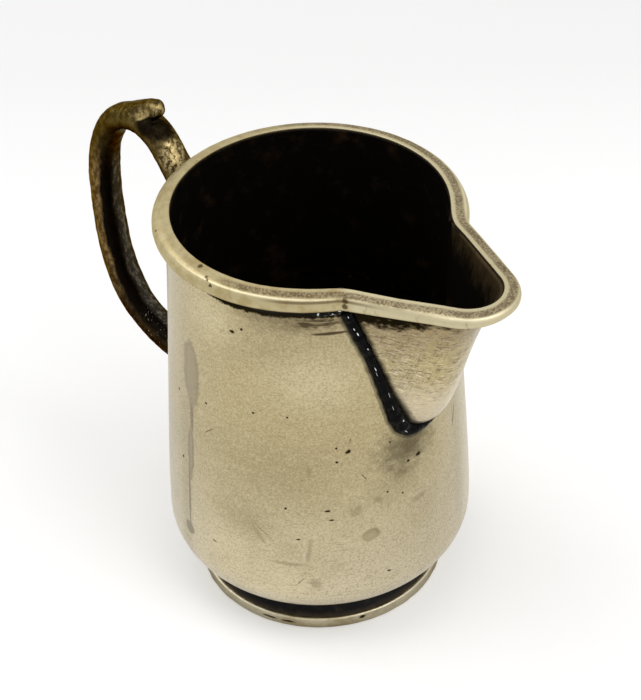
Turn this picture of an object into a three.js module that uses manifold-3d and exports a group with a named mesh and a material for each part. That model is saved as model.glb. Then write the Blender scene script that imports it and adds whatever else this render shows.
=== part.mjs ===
// A small table jug for milk in plated sheet metal: a spun body on a ring foot, a beaded mouth,
// a pouring spout let into the front and a cast scroll handle with a thumb spur at the back.
// The spout points along +X and the handle along -X. Z is up and the foot stands on Z = 0.
import * as THREE from "three";
import { mergeVertices, toCreasedNormals } from "three/addons/utils/BufferGeometryUtils.js";
import Module from "manifold-3d";

// Driving dimensions, in millimetres and degrees. Radii are taken from the jug's own axis.
const RIM_HEIGHT = 100; // table to the top of the mouth
const MOUTH_RADIUS = 31.2; // outside of the wall at the mouth
const BELLY_RADIUS = 35.4; // outside of the wall at its widest
const BELLY_HEIGHT = 18.3; // where the wall is widest
const BASE_HEIGHT = 8.3; // underside of the body's flat base
const BELLY_RUN = 15.3; // pull of the belly on the wall's curve
const MOUTH_RUN = 30.7; // pull of the mouth on the wall's curve
const MOUTH_LEAN = 0.94; // how far that pull leans outwards
const WALL = 1.2; // gauge of the sheet
const SEAT = 0.3; // room for solder between curved faces that meet

const FOOT_RADIUS = 28.9; // outside of the foot wire
const FOOT_WIRE_HEIGHT = 2.9;
const FOOT_WIRE_WIDTH = 2.8;
const FOOT_EDGE = 0.5; // rounding of the foot wire's outer edges
const NECK_INSET = 0.3; // the collar's top edge inside the rim of the flat base
const NECK_HOLLOW = 1.1; // how far the collar is waisted

const WIRE_WIDTH = 2.6; // mouth and lip wires, across
const WIRE_HEIGHT = 3.7;
const LIP_TIP_HEIGHT = 2.2; // the lip wire thins to this at the tip
const WIRE_EDGE = 0.45; // rounding of their outer edge above
const WIRE_LOW_EDGE = 1; // and below
const WIRE_FALL = 0.6; // fall of their top face towards the outside

const SPOUT_PROJECTION = 21.2; // mouth to the lip's tip, outside of the sheet
const SPOUT_DEPTH = 41.3; // mouth to the foot of the spout
const SPOUT_HALF_ANGLE = 34; // half of the mouth that the spout opens, seen from above
const SPOUT_FOOT_ANGLE = 9.5; // the same at the foot of the spout
const NOSE_RADIUS = 8.4; // rounding of the spout's front at the lip
const NOSE_FOOT_RADIUS = 6.8; // and at its foot
const KEEL_SWELL = 6.8; // how far the front bulges over the foot of the spout
const KEEL_SWELL_RISE = 3;
const KEEL_FLARE = 11.5; // how far the front leans out to the lip
const KEEL_FLARE_DROP = 17;

const HANDLE_PROJECTION = 34; // belly to the middle of the handle at its farthest
const HANDLE_REACH_DROP = 26; // mouth to the height where it is farthest
const HANDLE_CREST_DROP = 1.3; // mouth to the middle of the handle at its highest
const HANDLE_CREST_OUT = 22.4; // mouth's edge to that point
const HANDLE_UPPER_DROP = 20; // mouth to the upper joint
const HANDLE_LOWER_RISE = 18; // belly to the lower joint
const HANDLE_WIDTH = 8; // across the finger
const HANDLE_THICKNESS = 6.5;
const HANDLE_UPPER_SHARE = 0.94; // the strand above the finger is lighter by this share
const HANDLE_BUILD_FROM = 0.2; // shares of the handle's length between which it grows heavier
const HANDLE_BUILD_TO = 0.65;
const HANDLE_SQUARENESS = 0.86; // 1 makes the section an oval, less makes it squarer
const UPPER_ROOT_FLARE = 1.35; // growth of the section at the upper joint
const LOWER_ROOT_FLARE = 1.04; // and at the lower one
const HANDLE_ROOT_RUN = 11; // length over which it grows
const UPPER_PULL_OUT = 0.43; // how the handle's curve leaves the upper joint, as shares of its span
const UPPER_PULL_UP = 0.21;
const CREST_PULL_IN = 0.43;
const CREST_PULL_OUT = 0.7;
const FAR_PULL_UP = 0.52;
const FAR_PULL_DOWN = 0.67;
const LOWER_PULL_OUT = 0.86; // and how it comes in to the lower joint
const LOWER_PULL_UP = -0.05;
const SPUR_LENGTH = 7; // crest of the handle to the tip of the thumb spur
const SPUR_RISE = 7.7; // crest's middle to the top of the tip
const SPUR_TIP_WIDTH = 3.4;
const SPUR_TIP_THICKNESS = 3.4;
const SPUR_ROOT_WIDTH = 0.9; // the spur's root, as shares of the handle's section
const SPUR_ROOT_THICKNESS = 0.79;
const SPUR_ROOT_BEHIND = 0.66; // how far its root lies behind and below the crest, as shares
const SPUR_ROOT_BELOW = 0.12; // of the handle's thickness
const SPUR_TAPER = 2.2; // above 1 keeps the spur full and thins it near the tip
const SPUR_BLUNTING = 0.2; // chamfer of the tip, as a share of its thickness
const SCOOP_SHARE = 0.78; // middle of the hollow on each side of the spur, along its length
const SCOOP_RADIUS = 5.5;
const SCOOP_DEPTH = 1;

const BEAD_RADIUS = 1.25; // solder bead down the spout's seam
const FILLET = 1; // solder fillets round the other joints
const HANDLE_SOLDER_RUN = 4.4; // how far the handle's fillets reach along its middle line
const FILLET_EDGE = 0.25; // what is left of a fillet's thickness where it runs out on the handle
const RIM_SOLDER_STOP = 6; // angle between the spout's corner and the end of the rim's fillet

// How finely curves are divided.
const TURN_STEPS = 64;
const WALL_STEPS = 8;
const CORNER_STEPS = 6;
const NECK_STEPS = 4;
const SPOUT_LEVELS = 15;
const NOSE_STEPS = 8;
const SIDE_STEPS = 2;
const EDGE_STEPS = 3;
const HANDLE_STEPS = 36;
const HANDLE_SIDES = 14;
const SPUR_STEPS = 6;
const SCOOP_STEPS = 20;
const SOLDER_STEPS = 4;
const BEAD_STEPS = 28;
const BEAD_SIDES = 7;
const CREASE_ANGLE = 32; // faces that meet at less than this are shaded as one curve

const wasm = await Module();
wasm.setup();

const degrees = THREE.MathUtils.degToRad;
const plan = (x, y) => new THREE.Vector2(x, y);
const baseCorner = BELLY_HEIGHT - BASE_HEIGHT;
const wireFoot = RIM_HEIGHT - WIRE_HEIGHT;
const spoutFoot = RIM_HEIGHT - SPOUT_DEPTH;

// Turns a closed geometry into a solid that can be cut and joined.
function toSolid(geometry) {
  const bare = geometry.clone();
  bare.deleteAttribute("normal");
  bare.deleteAttribute("uv");
  const merged = mergeVertices(bare, 1e-4);
  const vertProperties = merged.attributes.position.array;
  const triVerts = new Uint32Array(merged.index.array);
  return new wasm.Manifold(new wasm.Mesh({ numProp: 3, vertProperties, triVerts }));
}

// Turns a solid back into a geometry with soft curves and crisp edges.
function toGeometry(solid) {
  const mesh = solid.getMesh();
  const geometry = new THREE.BufferGeometry();
  geometry.setAttribute("position", new THREE.BufferAttribute(mesh.vertProperties, 3));
  geometry.setIndex(new THREE.BufferAttribute(mesh.triVerts, 1));
  return toCreasedNormals(geometry, degrees(CREASE_ANGLE));
}

// Skins a row of rings that have equal numbers of points, and closes its two ends.
// Seen from the far end of the row, the points of a ring run anticlockwise.
function loft(rings, firstFlat, lastFlat) {
  const count = rings[0].length;
  const positions = rings.flat().flatMap((point) => point.toArray());
  const index = [];
  for (let ring = 0; ring < rings.length - 1; ring++) {
    for (let i = 0; i < count; i++) {
      const a = ring * count + i;
      const b = ring * count + ((i + 1) % count);
      index.push(a, b, b + count, a, b + count, a + count);
    }
  }
  const end = (rings.length - 1) * count;
  for (const [a, b, c] of THREE.ShapeUtils.triangulateShape(firstFlat, [])) index.push(a, c, b);
  for (const [a, b, c] of THREE.ShapeUtils.triangulateShape(lastFlat, [])) {
    index.push(end + a, end + b, end + c);
  }
  const geometry = new THREE.BufferGeometry();
  geometry.setAttribute("position", new THREE.Float32BufferAttribute(positions, 3));
  geometry.setIndex(index);
  return geometry;
}

// Spins a closed outline of radius and height round the jug's axis.
function spin(outline) {
  return new THREE.LatheGeometry(outline, TURN_STEPS).rotateX(Math.PI / 2);
}

// Points on an arc in the plane of the outline, from one angle to another.
function arc(centre, radius, from, to, steps) {
  const points = [];
  for (let i = 0; i <= steps; i++) {
    const angle = degrees(THREE.MathUtils.lerp(from, to, i / steps));
    points.push(plan(centre.x + radius * Math.cos(angle), centre.y + radius * Math.sin(angle)));
  }
  return points;
}

// The outside of the wall from belly to mouth, as radius and height.
const wallCurve = new THREE.CubicBezierCurve(
  plan(BELLY_RADIUS, BELLY_HEIGHT),
  plan(BELLY_RADIUS, BELLY_HEIGHT + BELLY_RUN),
  plan(MOUTH_RADIUS + MOUTH_LEAN, RIM_HEIGHT - MOUTH_RUN),
  plan(MOUTH_RADIUS, RIM_HEIGHT),
);

// The wall's outer radius at a height above the belly.
function wallRadius(height) {
  let low = 0;
  let high = 1;
  for (let i = 0; i < 40; i++) {
    const middle = (low + high) / 2;
    if (wallCurve.getPoint(middle).y < height) low = middle;
    else high = middle;
  }
  return wallCurve.getPoint(low).x;
}

// The body's outside from the edge of its flat base to the mouth, moved out by a distance.
function bodyOutline(out) {
  const corner = plan(BELLY_RADIUS - baseCorner, BELLY_HEIGHT);
  const points = arc(corner, baseCorner + out, -90, 0, CORNER_STEPS);
  for (let i = 1; i <= WALL_STEPS; i++) {
    const along = wallCurve.getTangent(i / WALL_STEPS);
    const point = wallCurve.getPoint(i / WALL_STEPS);
    points.push(plan(point.x + along.y * out, point.y - along.x * out));
  }
  points.at(-1).y = RIM_HEIGHT;
  return points;
}

// The whole space inside the body's outer face, grown by a distance, for cutting what meets it.
function bodyCore(out) {
  const outside = bodyOutline(out);
  const above = RIM_HEIGHT + WIRE_HEIGHT;
  const outline = [
    plan(0, BASE_HEIGHT - out),
    ...outside,
    plan(outside.at(-1).x, above),
    plan(0, above),
  ];
  return toSolid(spin(outline));
}

// The front edge of the spout in the plane of symmetry: distance from the axis and height.
const keel = new THREE.CubicBezierCurve(
  plan(wallRadius(spoutFoot), spoutFoot),
  plan(wallRadius(spoutFoot) + KEEL_SWELL, spoutFoot + KEEL_SWELL_RISE),
  plan(MOUTH_RADIUS + SPOUT_PROJECTION - KEEL_FLARE, RIM_HEIGHT - KEEL_FLARE_DROP),
  plan(MOUTH_RADIUS + SPOUT_PROJECTION, RIM_HEIGHT),
);

// Where the spout's sides leave the body at a height, as an angle from the spout's own plane.
function seamAngle(height) {
  const share = Math.min((height - spoutFoot) / (wireFoot - spoutFoot), 1);
  return degrees(THREE.MathUtils.lerp(SPOUT_FOOT_ANGLE, SPOUT_HALF_ANGLE, share));
}

// One level of the spout, seen from above: a rounded nose with a straight side back to each seam.
// The inset is measured inwards from the outside of the sheet.
function spoutLevel(share, inset) {
  const front = keel.getPoint(share);
  const nose = THREE.MathUtils.lerp(NOSE_FOOT_RADIUS, NOSE_RADIUS, Math.sqrt(share));
  const centre = front.x - nose;
  const radius = wallRadius(front.y);
  const angle = seamAngle(front.y);
  const seam = plan(radius * Math.cos(angle), radius * Math.sin(angle));
  const reach = Math.hypot(seam.x - centre, seam.y);
  const turn = Math.atan2(seam.y, seam.x - centre) - Math.acos(Math.min(nose / reach, 1));
  const normal = plan(Math.cos(turn), Math.sin(turn));
  const touch = plan(centre + nose * normal.x, nose * normal.y);
  return { height: front.y, centre, nose, turn, normal, seam, touch, inset };
}

// The level's outline from the seam on the +Y side, round the nose, to the other seam.
function spoutOutline(level) {
  const { centre, nose, turn, normal, seam, touch, inset } = level;
  const half = [];
  for (let i = 0; i < SIDE_STEPS; i++) {
    const point = seam.clone().lerp(touch, i / SIDE_STEPS);
    half.push(point.addScaledVector(normal, -inset));
  }
  const radius = nose - inset;
  for (let i = 0; i < NOSE_STEPS; i++) {
    const angle = turn * (1 - i / NOSE_STEPS);
    half.push(plan(centre + radius * Math.cos(angle), radius * Math.sin(angle)));
  }
  const mirrored = half.toReversed().map((point) => plan(point.x, -point.y));
  return [...half, plan(centre + radius, 0), ...mirrored];
}

// The wedge of space in front of the body that the spout's sheet wraps, less an inset.
function spoutWedge(inset, top) {
  const back = MOUTH_RADIUS / 2;
  const rings = [];
  for (let i = 0; i <= SPOUT_LEVELS; i++) {
    const level = spoutLevel(i / SPOUT_LEVELS, inset);
    const front = spoutOutline(level);
    const side = front[0].y;
    const outline = [plan(back, -side), ...front.toReversed(), plan(back, side)];
    rings.push(outline.map((point) => new THREE.Vector3(point.x, point.y, level.height)));
  }
  if (top > RIM_HEIGHT) rings.push(rings.at(-1).map((p) => new THREE.Vector3(p.x, p.y, top)));
  const flat = (ring) => ring.map((point) => plan(point.x, point.y));
  return toSolid(loft(rings, flat(rings[0]), flat(rings.at(-1))));
}

// The body: one spun sheet with its base, cut open behind the spout.
function makeBody() {
  const outside = bodyOutline(0);
  const inside = bodyOutline(-WALL);
  const outline = [
    plan(0, BASE_HEIGHT),
    ...outside,
    ...inside.toReversed(),
    plan(0, BASE_HEIGHT + WALL),
  ];
  const opening = spoutWedge(WALL, RIM_HEIGHT + WIRE_HEIGHT);
  return toGeometry(toSolid(spin(outline)).subtract(opening));
}

// The spout: a bent sheet that butts on the body round a V-shaped seam.
function makeSpout() {
  const sheet = spoutWedge(0, RIM_HEIGHT);
  const channel = spoutWedge(WALL, RIM_HEIGHT + WIRE_HEIGHT);
  return toGeometry(sheet.subtract(channel).subtract(bodyCore(SEAT)));
}

// The section of the mouth and lip wires at a height of wire: distance out from the sheet, and height.
function wireSection(height) {
  const outer = SEAT + WIRE_WIDTH;
  const crown = RIM_HEIGHT - WIRE_FALL;
  const foot = RIM_HEIGHT - height;
  const low = arc(plan(outer - WIRE_LOW_EDGE, foot + WIRE_LOW_EDGE), WIRE_LOW_EDGE, -90, 0, EDGE_STEPS);
  const high = arc(plan(outer - WIRE_EDGE, crown - WIRE_EDGE), WIRE_EDGE, 0, 90, EDGE_STEPS);
  const inner = -WIRE_HEIGHT;
  return [plan(inner, foot), ...low, ...high, plan(0, RIM_HEIGHT), plan(inner, RIM_HEIGHT)];
}

// Sweeps a section along stations that run anticlockwise seen from above, each with a place and
// an outward direction in plan. Looked back on from the far end, the outside is on the left.
function sweepRound(stations, sectionAt) {
  const loops = stations.map((_, i) => sectionAt(i).toReversed());
  const rings = stations.map(({ place, out }, i) =>
    loops[i].map((point) => {
      const foot = place.clone().addScaledVector(out, point.x);
      return new THREE.Vector3(foot.x, foot.y, point.y);
    }),
  );
  const flat = (loop) => loop.map((point) => plan(-point.x, point.y));
  return toSolid(loft(rings, flat(loops[0]), flat(loops.at(-1))));
}

// The corner where the mouth wire meets the lip wire, with the line of their mitre.
const corner = (() => {
  const level = spoutLevel(1, 0);
  const around = plan(Math.cos(seamAngle(RIM_HEIGHT)), Math.sin(seamAngle(RIM_HEIGHT)));
  const mitre = around.clone().add(level.normal).normalize();
  return { place: level.seam, around, mitre: mitre.divideScalar(mitre.dot(around)), level };
})();

// A station at one mitre, moved back from it by half the solder's room.
function mitreStation(along, side) {
  const place = corner.place.clone().addScaledVector(along, SEAT / 2);
  return { place: plan(place.x, place.y * side), out: plan(corner.mitre.x, corner.mitre.y * side) };
}

// The wire round the mouth, from one corner of the spout to the other by way of the back.
function makeRimWire() {
  const start = seamAngle(RIM_HEIGHT);
  const steps = Math.round((TURN_STEPS * (Math.PI - start)) / Math.PI);
  const along = plan(-corner.around.y, corner.around.x);
  const stations = [mitreStation(along, 1)];
  for (let i = 1; i < steps; i++) {
    const angle = start + (2 * (Math.PI - start) * i) / steps;
    const out = plan(Math.cos(angle), Math.sin(angle));
    stations.push({ place: out.clone().multiplyScalar(MOUTH_RADIUS), out });
  }
  stations.push(mitreStation(along, -1));
  const wire = sweepRound(stations, () => wireSection(WIRE_HEIGHT));
  return toGeometry(wire.subtract(bodyCore(SEAT)));
}

// The wire round the lip of the spout, thinnest at the tip.
function makeLipWire() {
  const { level } = corner;
  const along = level.touch.clone().sub(level.seam).normalize();
  const stations = [mitreStation(along, -1)];
  stations.push({ place: plan(level.touch.x, -level.touch.y), out: plan(level.normal.x, -level.normal.y) });
  for (let i = 1; i < 2 * NOSE_STEPS; i++) {
    const angle = level.turn * (i / NOSE_STEPS - 1);
    const out = plan(Math.cos(angle), Math.sin(angle));
    stations.push({ place: plan(level.centre + level.nose * out.x, level.nose * out.y), out });
  }
  stations.push({ place: level.touch.clone(), out: level.normal.clone() });
  stations.push(mitreStation(along, 1));
  const run = [0];
  for (let i = 1; i < stations.length; i++) {
    run.push(run.at(-1) + stations[i].place.distanceTo(stations[i - 1].place));
  }
  const fromTip = (i) => Math.abs((2 * run[i]) / run.at(-1) - 1);
  const height = (i) => THREE.MathUtils.lerp(LIP_TIP_HEIGHT, WIRE_HEIGHT, fromTip(i));
  const wire = sweepRound(stations, (i) => wireSection(height(i)));
  const sheet = spoutWedge(-SEAT, RIM_HEIGHT + WIRE_HEIGHT);
  return toGeometry(wire.subtract(sheet).subtract(bodyCore(SEAT)));
}

// The waisted collar between the body's base and the foot wire.
const neckRadius = BELLY_RADIUS - baseCorner - NECK_INSET;
function makeFootCollar() {
  const foot = FOOT_RADIUS - FOOT_EDGE;
  const outside = new THREE.QuadraticBezierCurve(
    plan(foot, FOOT_WIRE_HEIGHT),
    plan(Math.min(neckRadius, foot) - NECK_HOLLOW, (BASE_HEIGHT + FOOT_WIRE_HEIGHT) / 2),
    plan(neckRadius, BASE_HEIGHT),
  ).getPoints(NECK_STEPS);
  const inside = outside.toReversed().map((point) => plan(point.x - WALL, point.y));
  return toGeometry(toSolid(spin([...outside, ...inside, outside[0].clone()])));
}

// The heavy ring that the jug stands on.
function makeFootWire() {
  const inner = FOOT_RADIUS - FOOT_WIRE_WIDTH;
  const edge = FOOT_RADIUS - FOOT_EDGE;
  const outline = [
    plan(inner, 0),
    ...arc(plan(edge, FOOT_EDGE), FOOT_EDGE, -90, 0, EDGE_STEPS),
    ...arc(plan(edge, FOOT_WIRE_HEIGHT - FOOT_EDGE), FOOT_EDGE, 0, 90, EDGE_STEPS),
    plan(inner, FOOT_WIRE_HEIGHT),
    plan(inner, 0),
  ];
  return toGeometry(toSolid(spin(outline)));
}

// The middle line of the handle in the plane of symmetry, from the upper joint to the lower one.
const handleCrest = plan(MOUTH_RADIUS + HANDLE_CREST_OUT, RIM_HEIGHT - HANDLE_CREST_DROP);
const handleLine = (() => {
  const upper = RIM_HEIGHT - HANDLE_UPPER_DROP;
  const lower = BELLY_HEIGHT + HANDLE_LOWER_RISE;
  const crest = handleCrest;
  const far = plan(BELLY_RADIUS + HANDLE_PROJECTION, RIM_HEIGHT - HANDLE_REACH_DROP);
  const upperRoot = plan(wallRadius(upper), upper);
  const lowerRoot = plan(wallRadius(lower), lower);
  const between = (a, b, across, up) => plan(a.x + (b.x - a.x) * across, a.y + (b.y - a.y) * up);
  const path = new THREE.CurvePath();
  path.add(
    new THREE.CubicBezierCurve(
      upperRoot,
      between(upperRoot, crest, UPPER_PULL_OUT, UPPER_PULL_UP),
      between(crest, upperRoot, CREST_PULL_IN, 0),
      crest,
    ),
  );
  path.add(
    new THREE.CubicBezierCurve(
      crest,
      between(crest, far, CREST_PULL_OUT, 0),
      between(far, crest, 0, FAR_PULL_UP),
      far,
    ),
  );
  path.add(
    new THREE.CubicBezierCurve(
      far,
      between(far, lowerRoot, 0, FAR_PULL_DOWN),
      between(lowerRoot, far, LOWER_PULL_OUT, LOWER_PULL_UP),
      lowerRoot,
    ),
  );
  return path;
})();

// A rounded section, a little squarer than an oval, as distances along and across the finger.
function ovalSection(width, thickness) {
  const points = [];
  for (let i = 0; i < HANDLE_SIDES; i++) {
    const angle = (2 * Math.PI * i) / HANDLE_SIDES;
    const round = (value, size) => Math.sign(value) * Math.abs(value) ** HANDLE_SQUARENESS * (size / 2);
    points.push(plan(round(Math.cos(angle), thickness), round(Math.sin(angle), width)));
  }
  return points;
}

// Rings of a bar that follows a line of distance and height on the handle's side of the jug.
function barRings(stations) {
  return stations.map(({ place, along, width, thickness }) => {
    const out = plan(-along.y, along.x);
    return ovalSection(width, thickness).map((point) => {
      const at = place.clone().addScaledVector(out, point.x);
      return new THREE.Vector3(-at.x, point.y, at.y);
    });
  });
}

// Stations along the handle between two shares of its length, with its section grown by a distance.
function handleStations(from, to, steps, grow) {
  const stations = [];
  for (let i = 0; i <= steps; i++) {
    const share = THREE.MathUtils.lerp(from, to, i / steps);
    const place = handleLine.getPointAt(share);
    const along = handleLine.getTangentAt(share);
    const fromJoint = Math.min(share, 1 - share) * handleLine.getLength();
    const end = Math.max(0, 1 - fromJoint / HANDLE_ROOT_RUN);
    const rootFlare = share < 0.5 ? UPPER_ROOT_FLARE : LOWER_ROOT_FLARE;
    const flare = 1 + (rootFlare - 1) * end * end;
    const build = THREE.MathUtils.smoothstep(share, HANDLE_BUILD_FROM, HANDLE_BUILD_TO);
    const size = flare * THREE.MathUtils.lerp(HANDLE_UPPER_SHARE, 1, build);
    const width = HANDLE_WIDTH * size + 2 * grow;
    const thickness = HANDLE_THICKNESS * size + 2 * grow;
    stations.push({ place, along, width, thickness });
  }
  return stations;
}

// Closes rings that run along the handle into a solid, with both ends sunk into the body.
function barSolid(stations) {
  const rings = barRings(stations);
  const flat = ovalSection(1, 1);
  return toSolid(loft(rings, flat, flat));
}

// The handle with both ends carried on into the body, before they are trimmed to it.
function handleBar(grow) {
  const stations = handleStations(0, 1, HANDLE_STEPS, grow);
  const first = stations[0];
  const last = stations.at(-1);
  const sunk = HANDLE_THICKNESS;
  stations.unshift({ ...first, place: first.place.clone().addScaledVector(first.along, -sunk) });
  stations.push({ ...last, place: last.place.clone().addScaledVector(last.along, sunk) });
  return barSolid(stations);
}

// A ball that hollows one side of the spur.
function scoopBall(station, side) {
  const ball = new THREE.SphereGeometry(SCOOP_RADIUS, SCOOP_STEPS, SCOOP_STEPS / 2);
  const beside = station.width / 2 + SCOOP_RADIUS - SCOOP_DEPTH;
  return toSolid(ball.translate(-station.place.x, beside * side, station.place.y));
}

// The thumb spur: it leaves the handle's back at the crest and ends in a blunt upturned tip,
// with a hollow on each side.
function spurBar() {
  const tip = plan(handleCrest.x - SPUR_LENGTH, handleCrest.y + SPUR_RISE - SPUR_TIP_THICKNESS / 2);
  const behind = HANDLE_THICKNESS * SPUR_ROOT_BEHIND;
  const below = HANDLE_THICKNESS * SPUR_ROOT_BELOW;
  const root = plan(handleCrest.x + behind, handleCrest.y - below);
  const along = tip.clone().sub(root).normalize();
  const rootThickness = HANDLE_THICKNESS * SPUR_ROOT_THICKNESS;
  const stationAt = (share) => {
    const taper = share ** SPUR_TAPER;
    return {
      place: root.clone().lerp(tip, share),
      along,
      width: THREE.MathUtils.lerp(HANDLE_WIDTH * SPUR_ROOT_WIDTH, SPUR_TIP_WIDTH, taper),
      thickness: THREE.MathUtils.lerp(rootThickness, SPUR_TIP_THICKNESS, taper),
    };
  };
  const stations = [];
  for (let i = 0; i <= SPUR_STEPS; i++) stations.push(stationAt(i / SPUR_STEPS));
  const last = stations.at(-1);
  const blunt = SPUR_TIP_THICKNESS * SPUR_BLUNTING;
  stations.push({
    place: tip.clone().addScaledVector(along, blunt),
    along,
    width: last.width - 2 * blunt,
    thickness: last.thickness - 2 * blunt,
  });
  const hollowed = stationAt(SCOOP_SHARE);
  return barSolid(stations).subtract(scoopBall(hollowed, 1)).subtract(scoopBall(hollowed, -1));
}

// The handle: a cast scroll bar with its thumb spur.
function makeHandle() {
  return toGeometry(handleBar(0).add(spurBar()).subtract(bodyCore(SEAT)));
}

// A fillet of solder round the handle: full at one of its ends, thin at a share of its length.
function makeHandleSolder(end, share) {
  const stations = handleStations(Math.min(end, share), Math.max(end, share), SOLDER_STEPS, SEAT);
  stations.forEach((station, i) => {
    const away = end < share ? i / SOLDER_STEPS : 1 - i / SOLDER_STEPS;
    const thick = THREE.MathUtils.lerp(FILLET, FILLET_EDGE, Math.sqrt(away));
    station.width += 2 * thick;
    station.thickness += 2 * thick;
  });
  return toGeometry(barSolid(stations).subtract(handleBar(SEAT)).subtract(bodyCore(SEAT)));
}

// The section of a fillet in the corner between an upright face and a ledge above it.
function filletUnder(radius, ledge) {
  return [plan(radius, ledge), plan(radius, ledge - FILLET), plan(radius + FILLET, ledge)];
}

// Solder under the mouth wire, stopping short of the spout's corners.
function makeRimSolder() {
  const start = seamAngle(RIM_HEIGHT) + degrees(RIM_SOLDER_STOP);
  const radius = wallRadius(wireFoot - FILLET) + SEAT;
  const section = filletUnder(radius, wireFoot);
  const stations = [];
  const steps = Math.round((TURN_STEPS * (Math.PI - start)) / Math.PI);
  for (let i = 0; i <= steps; i++) {
    const angle = start + (2 * (Math.PI - start) * i) / steps;
    stations.push({ place: plan(0, 0), out: plan(Math.cos(angle), Math.sin(angle)) });
  }
  return toGeometry(sweepRound(stations, () => section));
}

// Solder in the corner between the collar and the body's base.
function makeFootSolder() {
  const section = filletUnder(neckRadius + SEAT, BASE_HEIGHT);
  return toGeometry(toSolid(spin([...section, section[0].clone()])));
}

// Where a level of the spout comes out of the body, as an angle: on its rounded nose low down,
// where the straight sides are still inside the wall, and at its seam point higher up.
function emergeAngle(level) {
  const { height, centre, nose, touch } = level;
  const radius = wallRadius(height);
  if (touch.length() > radius) return seamAngle(height);
  const x = (radius ** 2 - nose ** 2 + centre ** 2) / (2 * centre);
  return Math.acos(Math.min(x / radius, 1));
}

// The bead of solder down one side of the spout's seam, round its foot and up the other side.
function makeSeamSolder() {
  const top = wireFoot - BEAD_RADIUS - SEAT;
  const points = [];
  for (let i = 0; i <= BEAD_STEPS; i++) {
    const level = spoutLevel(i / BEAD_STEPS, 0);
    if (level.height > top) break;
    const angle = emergeAngle(level);
    const radius = wallRadius(level.height) + SEAT;
    points.push(new THREE.Vector3(radius * Math.cos(angle), radius * Math.sin(angle), level.height));
  }
  const mirrored = points.slice(1).map((p) => new THREE.Vector3(p.x, -p.y, p.z));
  const path = new THREE.CatmullRomCurve3([...points.toReversed(), ...mirrored]);
  const circle = new THREE.Shape().absarc(0, 0, BEAD_RADIUS, 0, 2 * Math.PI);
  const bead = new THREE.ExtrudeGeometry(circle, {
    steps: BEAD_STEPS,
    curveSegments: BEAD_SIDES,
    bevelEnabled: false,
    extrudePath: path,
  });
  const sheet = spoutWedge(-SEAT, RIM_HEIGHT);
  return toGeometry(toSolid(bead).subtract(sheet).subtract(bodyCore(SEAT)));
}

// Finishes.
const plate = { color: 0xb8ad92, roughness: 0.38, metalness: 1 };
const wornPlate = { color: 0xa79a7c, roughness: 0.42, metalness: 1 };
const castMetal = { color: 0x7c6a48, roughness: 0.46, metalness: 1 };
const darkSolder = { color: 0x14110f, roughness: 0.25, metalness: 0.4 };
const dullSolder = { color: 0x4a4136, roughness: 0.6, metalness: 0.7 };

const jug = new THREE.Group();
function addPiece(name, geometry, finish) {
  const piece = new THREE.Mesh(geometry, new THREE.MeshStandardMaterial(finish));
  piece.name = name;
  jug.add(piece);
}

addPiece("body_shell", makeBody(), plate);
addPiece("spout", makeSpout(), plate);
addPiece("rim_wire", makeRimWire(), wornPlate);
addPiece("spout_lip_wire", makeLipWire(), wornPlate);
addPiece("foot_collar", makeFootCollar(), plate);
addPiece("foot_wire", makeFootWire(), wornPlate);
addPiece("handle", makeHandle(), castMetal);
addPiece("spout_seam_solder", makeSeamSolder(), darkSolder);
addPiece("rim_solder", makeRimSolder(), dullSolder);
addPiece("foot_solder", makeFootSolder(), dullSolder);
const solderShare = HANDLE_SOLDER_RUN / handleLine.getLength();
addPiece("handle_upper_solder", makeHandleSolder(0, solderShare), dullSolder);
addPiece("handle_lower_solder", makeHandleSolder(1, 1 - solderShare), dullSolder);

// The jug's axis is moved along X until the whole is centred over the origin.
const bounds = new THREE.Box3().setFromObject(jug);
jug.position.x = -(bounds.min.x + bounds.max.x) / 2;

export default jug;
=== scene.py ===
"""A worn plated milk jug on a white table: spun body, let-in spout, wired mouth, cast handle.

Shapes are worked out in millimetres about the jug's own axis, with the spout along +X, and are
put in their place in metres at the end.
"""
import math

import bmesh
import bpy
import numpy as np
from mathutils import Matrix, Vector, noise


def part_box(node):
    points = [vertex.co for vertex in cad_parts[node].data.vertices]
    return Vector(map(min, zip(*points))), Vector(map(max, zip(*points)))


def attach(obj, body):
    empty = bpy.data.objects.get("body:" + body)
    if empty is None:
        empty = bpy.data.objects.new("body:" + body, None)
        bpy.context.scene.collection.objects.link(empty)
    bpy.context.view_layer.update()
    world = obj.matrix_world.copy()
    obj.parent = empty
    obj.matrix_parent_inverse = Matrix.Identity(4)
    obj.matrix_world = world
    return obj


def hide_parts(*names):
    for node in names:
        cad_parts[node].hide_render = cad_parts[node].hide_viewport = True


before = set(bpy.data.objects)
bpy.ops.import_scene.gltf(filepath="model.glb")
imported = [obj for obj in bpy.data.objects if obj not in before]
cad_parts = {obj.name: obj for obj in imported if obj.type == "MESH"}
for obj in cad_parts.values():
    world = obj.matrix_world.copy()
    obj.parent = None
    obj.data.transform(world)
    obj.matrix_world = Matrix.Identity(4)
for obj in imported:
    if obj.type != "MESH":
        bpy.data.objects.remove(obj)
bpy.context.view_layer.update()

MM = 0.001
foot_low, foot_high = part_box("foot_wire")
AXIS_X = (foot_low.x + foot_high.x) / 2

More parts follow.
